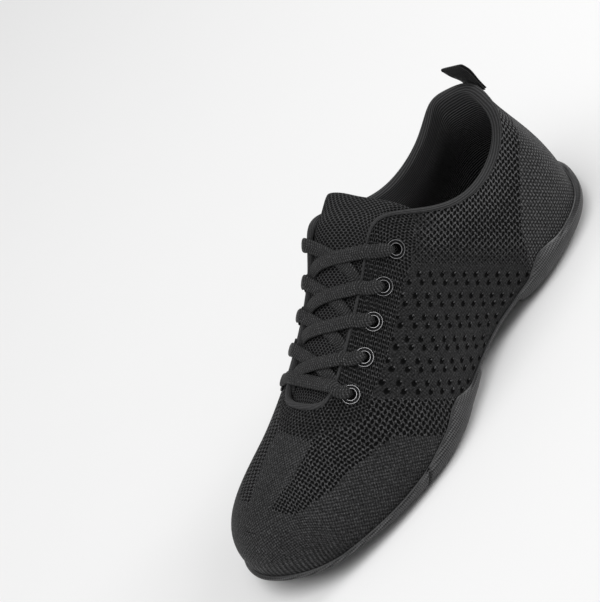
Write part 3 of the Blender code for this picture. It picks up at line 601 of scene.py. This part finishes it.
def air_holes(course, wale, radius):
    """1 inside the side's holes: pairs of rows, 3.7 mm apart in every 9.7, a hole every 6.42 along them."""
    odd = (course - AIR_START).odd(AIR_ROW)
    aside = (course - AIR_START).cell(AIR_ROW) - (odd - 0.5) * 1.15
    ahead = (wale - course * 0.278 + odd * 3.97 - 4.36).cell(AIR_PITCH)
    return ((aside * aside * 0.8 + ahead * ahead * 1.1).work("SQRT") - radius).eased(0.25, -0.35)


def eyestay_rows(place, height):
    """The eyestay laid flat: down from the rim, and along it."""
    places = np.linspace(0, ROWS_ROUND, 521)
    line = skin(places, np.full(521, 0.8))[0]
    run = np.r_[0, np.cumsum(np.linalg.norm(np.diff(line, axis=0), axis=1))]
    deep = np.linalg.norm(skin(places, np.ones(521))[0] - skin(places, np.full(521, 0.6))[0], axis=1) / 0.4
    return np.stack([(1 - height) * np.interp(place, places, deep), np.interp(place, places, run)], axis=1)


def lay_shell(u, v):
    place, step = u * ROWS_ROUND, v * UPPER_STEPS[-1]
    height = np.interp(step, UPPER_STEPS, (0, 1, 1, 0, 0))
    turn = pi * np.interp(step, UPPER_STEPS, (0, 0, 1, 1, 0))
    spot, facing = shell(place, height, turn)
    inside = (step > 0.5 * (UPPER_STEPS[1] + UPPER_STEPS[2])) & (step < UPPER_STEPS[4])
    _, _, ahead, spread, _ = knit_courses(spot)
    course, wale = knit_courses(spot + heel_laid_flat(place)[:, None] * [1, 0, 0])[:2]
    zones = knit_zones(spot, place, height)
    pattern = np.where(inside[:, None], np.stack([EDGE_STEP * place, 65 * (1 - height)], axis=1),
                       np.stack([course, wale], axis=1))
    vamp = np.stack([ahead, spread], axis=1)
    reach = spot[:, 0] - FAN_MIDDLE
    fan = np.stack([np.hypot(reach, spread), FAN_REACH * np.arctan2(spread, reach)], axis=1)
    fan = np.where(zones["fore"][:, None] > 0.5, fan, eyestay_rows(place, height))
    dents = air_holes(Figure(None, course), Figure(None, wale), Figure(None, zones["pairs"])).socket
    spot = spot - (DIMPLE * dents * (zones["pairs"] > 0.5) * ~inside)[:, None] * facing
    return spot, {"pattern": pattern, "vamp": vamp, "fan": fan}, {**zones, "inside": inside}


def eyelet_frames():
    """Middle, outward normal, level and wall thickness of the ten eyelets, outer row first, from the top."""
    for side in (1, -1):
        for place, height in EYELETS:
            place = np.array([place if side > 0 else ROWS_ROUND - place])
            spot, normal, climb = skin(place, height)
            yield spot[0], normal[0], unit(np.cross(normal, climb))[0], wall_at(place, np.array([height]))[0]


def punch(piece, walls):
    """Round holes for the eyelets, through a piece of one wall, or of two that are joined round each hole."""
    work = bmesh.new()
    work.from_mesh(piece.data)
    for spot, normal, _, _ in eyelet_frames():
        middle, axis = Vector((spot - MIDDLE) * MM), Vector(normal)
        work.faces.ensure_lookup_table()
        away = np.array([face.calc_center_median() - middle for face in work.faces]) / MM
        level = away @ normal
        radius = np.linalg.norm(away - level[:, None] * normal, axis=1)
        punched = [work.faces[k] for k in np.flatnonzero((radius < EYELET_HOLE) & (np.abs(level) < 8))]
        edges = dict.fromkeys(edge for face in punched for edge in face.edges)
        bmesh.ops.delete(work, geom=punched, context="FACES")
        edges = [edge for edge in edges if edge.is_valid and edge.is_boundary]
        for vert in dict.fromkeys(vert for edge in edges for vert in edge.verts):
            along = (vert.co - middle).dot(axis) * axis
            vert.co = middle + along + EYELET_HOLE * MM * (vert.co - middle - along).normalized()
        if walls == 2:
            bmesh.ops.bridge_loops(work, edges=edges)
    bmesh.ops.recalc_face_normals(work, faces=work.faces)
    work.to_mesh(piece.data)
    work.free()


upper = weld("knit_upper", lay_grid("shell", UPPER_LINES, UPPER_STEPS[-1], lay_shell))
punch(upper, walls=2)

knit = Finish("engineered_knit", 0.6, specular_ior_level=0.1, sheen_weight=0.02)
fore = knit.attribute("fore").work("GREATER_THAN", 0.5)
course, wale = knit.pattern_map()
ahead, spread = knit.pattern_map("vamp")
ring, round_throat = knit.pattern_map("fan")
wander = knit.noise(1.4)
fuzz = knit.noise(0.55)
toe_ahead = (ahead - 188.0).work("MAXIMUM", 0.0) * 0.28 + ahead       # the wedges' holes shrink to the toe
toe_width = spread.work("ABSOLUTE") * (ahead.eased(180.0, 205.0) * 0.2 + 1.0)
toe_width = toe_width * (spread.work("LESS_THAN", 0.0) * -0.35 + 1.0)
mesh_row = wale + fore * (toe_ahead * 0.64 - toe_width * 0.77 - wale) + wander * 0.3
mesh_along = course + fore * (toe_ahead * 0.77 + toe_width * 0.64 - course) + wander * 0.3
mesh_radius = knit.attribute("mesh")
mesh = lattice(mesh_row, 1.75, mesh_along, 3.05, mesh_radius + wander * 0.35, 0.9) * (fore * -0.2 + 1.0)
pinholes = lattice(ring + wander * 0.15, 1.5, round_throat + wander * 0.15, 2.05,
                   knit.attribute("pinholes") + fuzz * 0.25)
air = knit.attribute("pairs")
pairs = air_holes(course, wale, air + wander * 0.7)
painted_glint_threads = air_holes(course + 0.85, wale + 0.95, air * 0.42)           # a thread across each hole, painted bright as a highlight
openings = pinholes.work("MAXIMUM", mesh).work("MAXIMUM", pairs * (painted_glint_threads * -0.9 + 1.0))
stitch_row, stitch_along = course + fore * (ahead - course), wale + fore * (spread - wale)
heel, toe_edge = knit.attribute("heel"), knit.attribute("toe_edge")
stitches = (stitch_row + wander * 0.5).wave(1.75) * (stitch_along + wander * 0.5).wave(1.75)
stitches = stitches * (air.eased(0.4, 0.8) * -0.5 - toe_edge * 0.5 + 1.0)
knots = lattice(stitch_row + wander * 0.3, 1.6, stitch_along + wander * 0.3, 2.1, heel * 0.55)
ribs = knit.attribute("round").wave(1.6) * toe_edge
speck = knit.noise(0.95)
# Brighter threads in the mesh, plus the painted light and shade from the zones.
threads_and_painted_shading = mesh_radius.eased(0.45, 1.0) * (fore * -0.06 + 0.18) + knit.attribute("tone")
shade = stitches * 0.2 + knots * 0.5 - heel * 0.1 + ribs * 0.16 + fuzz * 0.7 + speck * 0.7
# Painted highlight: the threads across the air holes brighten the colour.
shade = shade + knit.noise(40.0) * 0.12 + threads_and_painted_shading + painted_glint_threads * (fuzz * 4.0 + 0.45) + 0.52
knit.colour(shade - openings * 1.1, (0.0, (0.0004, 0.0004, 0.0005)), (0.25, (0.006, 0.006, 0.0062)),
            (0.55, (0.026, 0.026, 0.0266)), (0.95, (0.11, 0.11, 0.112)))
knit.rough(openings * 0.3 + 0.6)
raised = stitches * 0.15 + knots * 0.2 + ribs * 0.2 + fuzz * 0.15 + speck * 0.15 + painted_glint_threads * 0.2
knit.relief(raised - openings * 0.6)

lining = Finish("ribbed_lining", 0.75, specular_ior_level=0.15, sheen_weight=0.05)
along, depth = lining.pattern_map()
rib = (depth + along * 0.08 + lining.noise(6.0) * 0.5).wave(1.35)
fleck = lining.noise(0.4)
# Painted light and shade: coloured about twice as light as the roll of the same cloth, to make up for the
# shade inside the collar, and darker deeper in.
lining.colour(rib * 0.35 + fleck * 0.5 + 0.52 - depth.eased(20.0, 45.0) * 0.2,
              (0.05, (0.006, 0.006, 0.0062)), (0.5, (0.04, 0.04, 0.041)), (0.95, (0.15, 0.15, 0.153)))
lining.relief(rib * 0.25 + fleck * 0.1)

fit(upper, "knit", knit, "upper")
upper.data.materials.append(lining.material)
inside = np.empty(len(upper.data.vertices), np.float32)
upper.data.attributes["inside"].data.foreach_get("value", inside)
for face in upper.data.polygons:
    face.material_index = int(min(inside[k] for k in face.vertices) > 0.5)

# Edge roll: the lining brought over the rim of the collar and the throat and stitched down just outside it,
# so that a rounded edge stands a little proud of the knit all the way round.  It is punched with the knit.

ROLL_OUTSIDE, ROLL_INSIDE, ROLL_PROUD = (0.6, 2.0), 20.0, 0.4      # leg at the collar and at the throat


def lay_roll(u, v):
    place = u * ROWS_ROUND
    near = np.minimum(place, ROWS_ROUND - place)
    loops = read_loops(place)
    run = 3 * np.linalg.norm(loops[:, 9:12] - loops[:, 6:9], axis=1)
    outside = (ROLL_OUTSIDE[0] + (ROLL_OUTSIDE[1] - ROLL_OUTSIDE[0]) * ease(near, 6, 9)) / run
    height = 1 - np.where(v < 0.5, outside, ROLL_INSIDE / run) * np.interp(v, (0, 0.3, 0.7, 1), (1, 0, 0, 1))
    spot, facing = shell(place, height, pi * np.interp(v, (0.3, 0.7), (0, 1)))
    proud = (ROLL_PROUD + 0.3 * ease(near, 6, 7) + 0.2) * ease(v, 0, 0.12) * ease(v, 1, 0.5) - 0.2
    depth = np.where(v > 0.7, 65 * (1 - height), np.interp(v, (0, 0.3, 0.7), (-10, -8, 0)))
    # The inner leg is also marked for painted light in the colour.
    return (spot + proud[:, None] * facing, {"pattern": np.stack([EDGE_STEP * place, depth], axis=1)},
            {"bound": ease(near, 5.5, 6.5), "within": ease(v, 0.55, 0.75)})


roll = weld("edge_roll", lay_grid("roll", 560, 40, lay_roll))
punch(roll, walls=1)
rolled = Finish("rolled_lining", 0.75, specular_ior_level=0.15, sheen_weight=0.05)
along, across = rolled.pattern_map()
bound, within = rolled.attribute("bound"), rolled.attribute("within")
rib = (across + along * 0.08 + rolled.noise(6.0) * 0.5).wave(1.35) * (bound * -0.6 + 1.0)
fleck = rolled.noise(0.4)
# Painted light: the roll's inner leg is coloured lighter, up to the lining's painted level, with stronger
# ribs.
rolled.colour(rib * (within * 0.15 + 0.2) + fleck * 0.6 + bound * 0.12 + within * 0.3 + 0.5,
              (0.05, (0.004, 0.004, 0.0041)), (0.5, (0.022, 0.022, 0.0225)), (0.95, (0.08, 0.08, 0.082)))
rolled.relief(rib * 0.1 + across.wave(0.7) * bound * 0.04 + fleck * 0.1)
fit(roll, "knit", rolled)

# Tongue: a soft foam pad faced with diamond mesh, with a woven border along its inner side.  It is sewn
# under the vamp, lies beneath the lacing and stands free above it.

BRIDGE = 0.45                     # how strongly the skin's slope carries on over the throat
EYELET_LEVEL = 0.79
TONGUE_STATIONS = (11.2, 10.3, 9.4, 8.6, 7.8, 7.0, 6.3, 5.95)
TONGUE_ACROSS = np.array((-1.7, -1.35, -1.04, -0.88, -0.5, 0.0, 0.5, 0.88, 1.04, 1.35, 1.7))
TONGUE_DROP = np.array((2.6, 2.5, 2.5, 1.2, 0.6, 0.2, 0.8, 1.6, 2.5, 2.5, 2.6))     # below the skin, there
TONGUE_THICK = np.array((1.6, 2.2, 3.0, 3.8, 4.6, 5.0, 4.6, 3.8, 3.0, 2.2, 1.6))
TONGUE_ROOT = ((198.0, 12.0), (185.0, 15.0))       # under the vamp: station, half width
# The top edge from the inner side to the outer, and the rings up to it: share of the way, thickness
TONGUE_TOP = ((94.5, -22.3, 91.2), (94.8, -22.0, 93.6), (95.0, -20.8, 95.5), (94.2, -17.8, 96.5),
              (93.0, -10.0, 95.5), (93.6, 0.0, 94.0), (92.0, 9.0, 91.8), (89.6, 15.8, 87.4),
              (88.3, 18.6, 84.2), (87.2, 20.6, 80.5), (86.8, 21.2, 77.0))
TONGUE_RISE = ((0.3, 1.05), (0.6, 1.0), (0.82, 0.75), (0.94, 0.42), (0.99, 0.15), (1.0, 0.0))


def over_throat(place, across):
    """The skin carried across the throat.  Across runs from -2 on the inner eyelets to 2 on the outer."""
    place, across = np.broadcast_arrays(np.asarray(place, float), np.asarray(across, float))
    outer, _, outer_climb = skin(place, np.ones_like(place))
    inner, _, inner_climb = skin(ROWS_ROUND - place, np.ones_like(place))
    chord = BRIDGE * np.linalg.norm(outer - inner, axis=-1, keepdims=True)
    f = np.clip(0.5 * (1 - across), 0, 1)[..., None]
    between = (outer * (1 + 2 * f) * (1 - f) ** 2 + chord * outer_climb * f * (1 - f) ** 2
               + inner * f * f * (3 - 2 * f) + chord * inner_climb * f * f * (1 - f))
    on_skin = skin(np.where(across > 0, place, ROWS_ROUND - place),
                   1 - (np.abs(across) - 1) * (1 - EYELET_LEVEL))[0]
    return np.where(np.abs(across)[..., None] >= 1, on_skin, between)


def throat(place, across):
    """Spots over the throat and the way they face."""
    aside = over_throat(place, across + 0.02) - over_throat(place, across - 0.02)
    ahead = over_throat(place + 0.05, across) - over_throat(place - 0.05, across)
    return over_throat(place, across), unit(np.cross(ahead, aside))


def skin_over(x, y):
    """The skin straight above a spot of the plan, under the front half of the vamp."""
    at = np.array([13.0 if abs(y + 3) < 1e-6 else 12.0 if y > -3 else 14.0, 0.85])
    for _ in range(30):
        here, turn, climb = (skin(*spot)[0] for spot in (at, at + [0.01, 0], at + [0, 0.01]))
        moves = np.linalg.solve(np.stack([(turn - here)[:2], (climb - here)[:2]], axis=1),
                                np.array([x, y]) - here[:2])
        at = at + np.clip(0.01 * moves, -0.3, 0.3)
    return skin(*at)[:2]


def tongue_sections():
    """Rings round the pad from its root under the vamp, along the throat, to the rounded top."""
    rings = []
    for station, half in TONGUE_ROOT:
        spots, normals = (np.array(rows) for rows in zip(*[
            skin_over(station, half * across / TONGUE_ACROSS[-1] - 2.5) for across in TONGUE_ACROSS]))
        top = spots - (WALL + 2 * GAP) * normals
        rings.append(np.concatenate([top, (top - 1.6 * normals)[::-1]]))
    for place in TONGUE_STATIONS:
        extra = max(0.0, 1.5 - 0.7 * (place - 5.95))
        sunk = np.clip((place - 9.2) / 1.6, 0, 1) * (WALL + 3 * GAP)
        spots, normals = throat(np.full(len(TONGUE_ACROSS), place), TONGUE_ACROSS)
        down = np.maximum(TONGUE_DROP, sunk) + np.where(np.abs(TONGUE_ACROSS) >= 1, extra, 0.3 * extra)
        top = spots - down[:, None] * normals
        rings.append(np.concatenate([top, (top - TONGUE_THICK[:, None] * normals)[::-1]]))
    last, count = rings[-1], len(TONGUE_ACROSS)
    core = 0.5 * (last[:count] + last[:count - 1:-1])
    core, top = (np.concatenate([row, row[::-1]]) for row in (core, np.array(TONGUE_TOP)))
    for share, thick in TONGUE_RISE:
        rings.append((1 - share) * core + share * top + thick * (last - core))
    return np.array(rings)


TONGUE_RINGS = tongue_sections()


def lay_tongue(u, v):
    ring = np.rint(u * (len(TONGUE_RINGS) - 1)).astype(int)
    spot = np.rint(v * TONGUE_RINGS.shape[1]).astype(int) % TONGUE_RINGS.shape[1]
    run = np.r_[0, np.cumsum(np.linalg.norm(np.diff(TONGUE_RINGS.mean(axis=1), axis=0), axis=1))]
    across = 19 * np.concatenate([TONGUE_ACROSS, TONGUE_ACROSS[::-1]])
    return TONGUE_RINGS[ring, spot], {"pattern": np.stack([run[ring], across[spot]], axis=1)}, {}


tongue = weld("tongue_pad", lay_grid("tongue", len(TONGUE_RINGS) - 1, TONGUE_RINGS.shape[1], lay_tongue))
smooth = tongue.modifiers.new("smooth", "SUBSURF")
smooth.levels = smooth.render_levels = 3
facing = Finish("tongue_mesh", 0.62, specular_ior_level=0.1, sheen_weight=0.02)
along, across = facing.pattern_map()
fleck = facing.noise(0.4)
odd, astray = along.odd(1.2), facing.noise(1.5) * 0.25
diamonds = along.cell(1.2).work("ABSOLUTE") * 0.9 + (across + odd * 1.1 + astray).cell(2.2).work("ABSOLUTE")
border = (across * -1.0).eased(15.0, 16.2)
diamonds = diamonds.eased(1.05, 0.6) * (border * -1.0 + 1.0)
woven = along.wave(1.0) * border
facing.colour(fleck * 0.8 + 0.76 - diamonds * 1.1 + woven * 0.2 - border * 0.2,
              (0.0, (0.0006, 0.0006, 0.0007)), (0.3, (0.004, 0.004, 0.0042)), (0.6, (0.022, 0.022, 0.0226)),
              (0.95, (0.085, 0.085, 0.087)))
facing.relief(fleck * 0.1 + woven * 0.12 - diamonds * 0.55)
fit(tongue, "mesh", facing, "tongue")

# Eyelets: ten rolled rings of black-plated metal.  Each is pushed through the knit and its lining from
# outside and clinched over behind, and its two lips are painted bright: worn plating and a painted highlight.

RING_TURNS = 64
RING_FACE = ((2.4, 0.0), (2.45, 0.5), (2.6, 0.8), (2.8, 0.92), (3.0, 0.88), (3.15, 0.7),
             (3.25, 0.5), (3.6, 0.42), (3.95, 0.5), (4.1, 0.72), (4.25, 0.8), (4.42, 0.72),
             (4.55, 0.5), (4.6, 0.2), (4.4, 0.1), (2.85, 0.1))      # radius, height over the knit
RING_WEAR_AND_HIGHLIGHT = ((2.8, 0.92), (4.25, 0.8))              # where the plating is painted bright: wear and a painted highlight

plated = Finish("black_plating", 0.42, metallic=1.0)
scuff = plated.noise(2.5, 4.0)
lip_wear_and_highlight = plated.attribute("lip_wear_and_highlight")
# Painted highlight: the lips are coloured pale grey for the plating's shine, and for its wear.
plated.colour(scuff * 0.2 + lip_wear_and_highlight * 0.75 + 0.12, (0.05, (0.01, 0.01, 0.0105)), (0.4, (0.035, 0.035, 0.036)),
              (0.95, (0.75, 0.75, 0.76)))
plated.rough(scuff * 0.15 + 0.42)
plated.relief(plated.noise(8.0) * 0.03)
names = [f"{row}_{number}" for row in ("outer", "inner") for number in range(1, 6)]
for name, (spot, normal, level, thick) in zip(names, eyelet_frames()):
    back = thick + GAP
    clinch = ((2.85, 0.1 - back), (3.9, -back), (4.0, -back - 0.3), (3.7, -back - 0.5), (2.4, -back - 0.4))
    turned = Matrix((level, np.cross(normal, level), normal)).transposed()
    work = bmesh.new()
    wear_and_highlight = work.verts.layers.float.new("lip_wear_and_highlight")
    verts = []
    for radius, height in RING_FACE + clinch:
        verts.append(work.verts.new(Vector((spot - MIDDLE) * MM) + turned @ Vector((radius, 0, height)) * MM))
        verts[-1][wear_and_highlight] = float((radius, height) in RING_WEAR_AND_HIGHLIGHT)
    edges = [work.edges.new(pair) for pair in zip(verts, verts[1:] + verts[:1])]
    bmesh.ops.spin(work, geom=verts + edges, cent=Vector((spot - MIDDLE) * MM), axis=Vector(normal),
                   angle=2 * pi, steps=RING_TURNS, use_merge=True)
    bmesh.ops.recalc_face_normals(work, faces=work.faces)
    for face in work.faces:
        face.smooth = True
    ring = bpy.data.objects.new(f"eyelet_ring_{name}", bpy.data.meshes.new(f"eyelet_ring_{name}"))
    work.to_mesh(ring.data)
    work.free()
    bpy.context.collection.objects.link(ring)
    fit(ring, "black_metal", plated, f"eyelet_{name}")

# Laces: one flat tubular braid, a straight bar over the lowest pair and crossings up to the top pair.  Each
# strand comes out of an eyelet, lies over the tongue and runs under the far edge to the next one.

LACE_WIDE, LACE_THICK = 6.4, 2.0
# Rows ahead of its eyelet, in eyelet steps, as a cubic of the place across, at each crossing from the top
CROSS_ROUTES = ((-0.092, 0.004, -0.269, 1.267), (-0.1, 0.05, -0.36, 1.245), (-0.03, -0.08, -0.4, 1.28),
                (-0.07, 0.06, -0.56, 1.36))
UNDER_ROUTE = (-0.052, 0.06, -0.538, 1.25)
BAR_ROUTE = (0.015, -0.017, -0.315, 0.056, 0.967)      # rows ahead of its eyelets, as a quartic
# Middle of the lace above the skin at places across: down the far edge, over the throat, over the near edge
# and the ring, into the bore
LACE_PLACES = (-1.3, -1.05, -0.8, -0.45, 0.0, 0.55, 1.0, 1.35, 1.58, 1.74, 1.9, 1.98, 2.03)
FAR_END, RING_END = LACE_PLACES[0], LACE_PLACES[-1]
INTO_RING = (1.8, 1.2, -0.8, -3.2)
OVER_LIFT = (LACE_PLACES, (-2.9, -2.7, -0.9, 1.3, 2.4, 2.2, 1.35, 1.2, 1.5, *INTO_RING))
UNDER_LIFT = (LACE_PLACES, (-2.9, -2.7, -1.1, 0.4, 0.8, 1.1, 2.1, 1.7, 1.6, *INTO_RING))
BAR_LIFT = (LACE_PLACES[4:], (1.2, 1.2, 1.2, 1.2, 1.5, *INTO_RING))
LACE_STEPS, LACE_ROUND = 96, 24


def rounded(value, table):
    """A table read at values, its corners smoothed."""
    return sum(np.interp(value + shift, *table) for shift in (-0.06, -0.03, 0.0, 0.03, 0.06)) / 5


def flattened(turn_part, half, power):
    """One way across a flat section with rounded edges, from the cosine or sine of the turn round it."""
    return half * np.sign(turn_part) * np.abs(turn_part) ** power


def calm(rows, reach):
    """Rows along a path, each eased over its neighbours."""
    rows = np.concatenate([rows[:1]] * reach + [rows] + [rows[-1:]] * reach)
    return sum(rows[k:len(rows) - 2 * reach + k] for k in range(2 * reach + 1)) / (2 * reach + 1)


def braid(name, route, lift, ends, level):
    """A flat oval cord along a route of places across the throat, lifted off it by so much, to an eyelet at
    that level of the wall."""
    across = np.linspace(*ends, LACE_STEPS + 1)
    past = np.maximum(np.abs(across) - 1, 0) * ((1 - level) / (1 - EYELET_LEVEL) - 1)
    spots, ups = throat(route(across), across + np.sign(across) * past)
    path = calm(spots + lift(across)[:, None] * ups, 3)
    ups = calm(ups, 9)
    ahead = unit(np.gradient(path, axis=0))
    sideways = unit(np.cross(ups, ahead))
    ups = np.cross(ahead, sideways)
    run = np.r_[0, np.cumsum(np.linalg.norm(np.diff(path, axis=0), axis=1))]
    squeeze = ease(np.abs(across), 1.74, 1.95)          # gathered where it enters the ring

    def lay(u, v):
        k = np.rint(u * LACE_STEPS).astype(int)
        turn = 2 * pi * v
        end = np.where((k == 0) | (k == LACE_STEPS), 0.02, 1.0)
        wide = flattened(np.cos(turn), 0.5 * LACE_WIDE * (1 - 0.32 * squeeze[k]) * end, 0.85)
        thick = flattened(np.sin(turn), 0.5 * LACE_THICK * end, 1.0)
        spot = path[k] + wide[:, None] * sideways[k] + thick[:, None] * ups[k]
        return spot, {"pattern": np.stack([run[k], wide], axis=1)}, {}

    return lay_grid(name, LACE_STEPS, LACE_ROUND, lay, merge=0.2)


cotton = Finish("lace_braid", 0.6, specular_ior_level=0.2, sheen_weight=0.03)
along, across = cotton.pattern_map()
astray = cotton.noise(1.2) * 0.6
bands = (along + across.work("ABSOLUTE") * 0.35 + astray).wave(1.25)
cords = (across + astray * 0.3).wave(1.15)
fleck = cotton.noise(0.45)
# Painted highlights: bright sparkles on the braid's bands.
painted_sparkle = cotton.noise(1.1).eased(0.1, 0.3) * bands
cotton.colour(bands * 0.2 + cords * 0.06 + painted_sparkle * 0.5 + fleck * 1.3 + 0.46, (0.05, (0.003, 0.003, 0.0031)),
              (0.4, (0.012, 0.012, 0.0123)), (0.65, (0.032, 0.032, 0.0326)), (0.95, (0.12, 0.12, 0.122)))
cotton.relief(bands * 0.12 + cords * 0.06 + fleck * 0.14)
for number, route in enumerate(CROSS_ROUTES):
    (start, level), (onward, _) = EYELETS[number:number + 2]
    strands = []
    for label, side, bend, lift in (("over", 1, route, OVER_LIFT), ("under", -1, UNDER_ROUTE, UNDER_LIFT)):
        strands.append(braid(
            label, lambda s: start + (onward - start) * np.polyval(bend, side * s),
            lambda s: rounded(side * s, lift), (RING_END * side, FAR_END * side), level))
    fit(weld(f"lace_crossing_{number + 1}", *strands), "cord", cotton, f"lace_cross_{number + 1}")
bar = braid("bar", lambda s: EYELETS[4][0] + np.polyval(BAR_ROUTE, s),
            lambda s: rounded(np.abs(s), BAR_LIFT), (RING_END, -RING_END), EYELETS[4][1])
fit(weld("lace_straight_bar", bar), "cord", cotton, "lace_bar")

# Pull loop: a doubled ribbon of woven webbing, folded over at the top, with both legs sewn to the back of
# the collar.  It stands upright and turns a little to the outer side.

LOOP_WIDE, LOOP_THICK = 11.0, 0.8
LOOP_LEG = (0.93, 0.965, 1.0)
LOOP_BOW = ((9.6, 83.0), (11.2, 88.0), (12.5, 91.8), (13.0, 93.1), (12.6, 93.8), (11.3, 92.6), (9.7, 88.4),
            (8.3, 83.0))                           # side view of the loop above the rim
LOOP_TWIST = 0.28                                  # it turns this far to the outer side as it rises


def loop_path():
    spots, normals, _ = skin(np.zeros(3), np.array(LOOP_LEG))
    inner_leg = spots + (GAP + 0.6 * LOOP_THICK) * normals[:1]
    outer_leg = spots + (1.6 * GAP + 1.65 * LOOP_THICK) * normals[:1]
    bow = np.array([[x, 0.0, z] for x, z in LOOP_BOW])
    return np.concatenate([inner_leg, bow, outer_leg[::-1]]) * [1, 0, 1]


LOOP_PATH = loop_path()


def lay_loop(u, v):
    count = len(LOOP_PATH)
    at = u * (count - 1)
    i = np.clip(at.astype(int), 0, count - 2)
    f = (at - i)[:, None]
    before, here, there, after = (LOOP_PATH[np.clip(i + k, 0, count - 1)] for k in (-1, 0, 1, 2))

    def curve(f):
        return 0.5 * (2 * here + (there - before) * f + (2 * before - 5 * here + 4 * there - after) * f ** 2
                      + (3 * here - before - 3 * there + after) * f ** 3)

    ahead = unit(curve(f + 0.01) - curve(f - 0.01))
    twist = LOOP_TWIST * ease(curve(f)[:, 2], 79.0, 89.0)
    sideways = np.stack([-np.sin(twist), np.cos(twist), np.zeros(len(u))], axis=1)
    out = unit(np.cross(ahead, sideways))
    turn = 2 * pi * v
    wide = flattened(np.cos(turn), 0.5 * LOOP_WIDE, 0.35)
    thick = flattened(np.sin(turn), 0.5 * LOOP_THICK, 0.35)
    spot = curve(f) + wide[:, None] * sideways + thick[:, None] * out
    return spot, {"pattern": np.stack([4.5 * at, wide], axis=1)}, {}


loop = weld("heel_pull_loop", lay_grid("loop", 104, 36, lay_loop))
webbing = Finish("woven_ribbon", 0.65, specular_ior_level=0.2, sheen_weight=0.03)
along, across = webbing.pattern_map()
weave = along.wave(0.8) * 0.5 + across.wave(1.1) * 0.5
webbing.colour(weave * 0.25 + webbing.noise(0.4) * 0.5 + 0.5, (0.1, (0.002, 0.002, 0.0021)),
               (0.5, (0.012, 0.012, 0.0124)), (0.9, (0.04, 0.04, 0.041)))
webbing.relief(weave * 0.12)
fit(loop, "webbing", webbing, "pull_loop")

# Studio: a plain pale floor under a pale surround, a broad soft light overhead and a smaller one beside the
# heel.  The camera looks down on the outer side of the shoe and is rolled.

floor_mesh = bpy.data.meshes.new("floor")
work = bmesh.new()
bmesh.ops.create_grid(work, x_segments=1, y_segments=1, size=6.0)
work.to_mesh(floor_mesh)
work.free()
floor = bpy.data.objects.new("floor", floor_mesh)
bpy.context.collection.objects.link(floor)
paper = Finish("paper_floor", 0.9)
paper.colour(paper.noise(60.0) * 0.2 + 0.5, (0.0, (0.8, 0.8, 0.8)), (1.0, (0.84, 0.84, 0.84)))
floor_mesh.materials.append(paper.material)

surround = bpy.data.worlds.new("surround")
surround.use_nodes = True
surround.node_tree.nodes["Background"].inputs["Color"].default_value = (1.0, 1.0, 1.0, 1.0)
surround.node_tree.nodes["Background"].inputs["Strength"].default_value = 0.34
bpy.context.scene.world = surround
bpy.context.scene.view_settings.view_transform = "Standard"


def softbox(name, place, aim, size, power):
    light = bpy.data.lights.new(name, "AREA")
    light.size, light.energy = size, power
    lamp = bpy.data.objects.new(name, light)
    lamp.location = place
    lamp.rotation_euler = (Vector(aim) - Vector(place)).to_track_quat("-Z", "Y").to_euler()
    bpy.context.collection.objects.link(lamp)


softbox("top_light", (0.5, 0.15, 2.0), (0.05, 0.0, 0.03), 2.2, 36.5)
softbox("heel_side_light", (-1.3, 0.45, 0.7), (-0.05, 0.02, 0.03), 0.5, 11.0)

CAMERA_PLACE = (0.32664, 0.70086, 0.5782)
CAMERA_TURN = Matrix(((-0.539, -0.774, 0.332),      # its right, up and back directions, a column each
                      (0.626, -0.104, 0.773),
                      (-0.564, 0.625, 0.540)))
view = bpy.data.cameras.new("camera")
view.sensor_fit, view.sensor_width, view.lens = "HORIZONTAL", 36.0, 120.83
camera = bpy.data.objects.new("camera", view)
camera.location = CAMERA_PLACE
camera.rotation_euler = CAMERA_TURN.to_euler()
bpy.context.collection.objects.link(camera)
bpy.context.scene.camera = camera
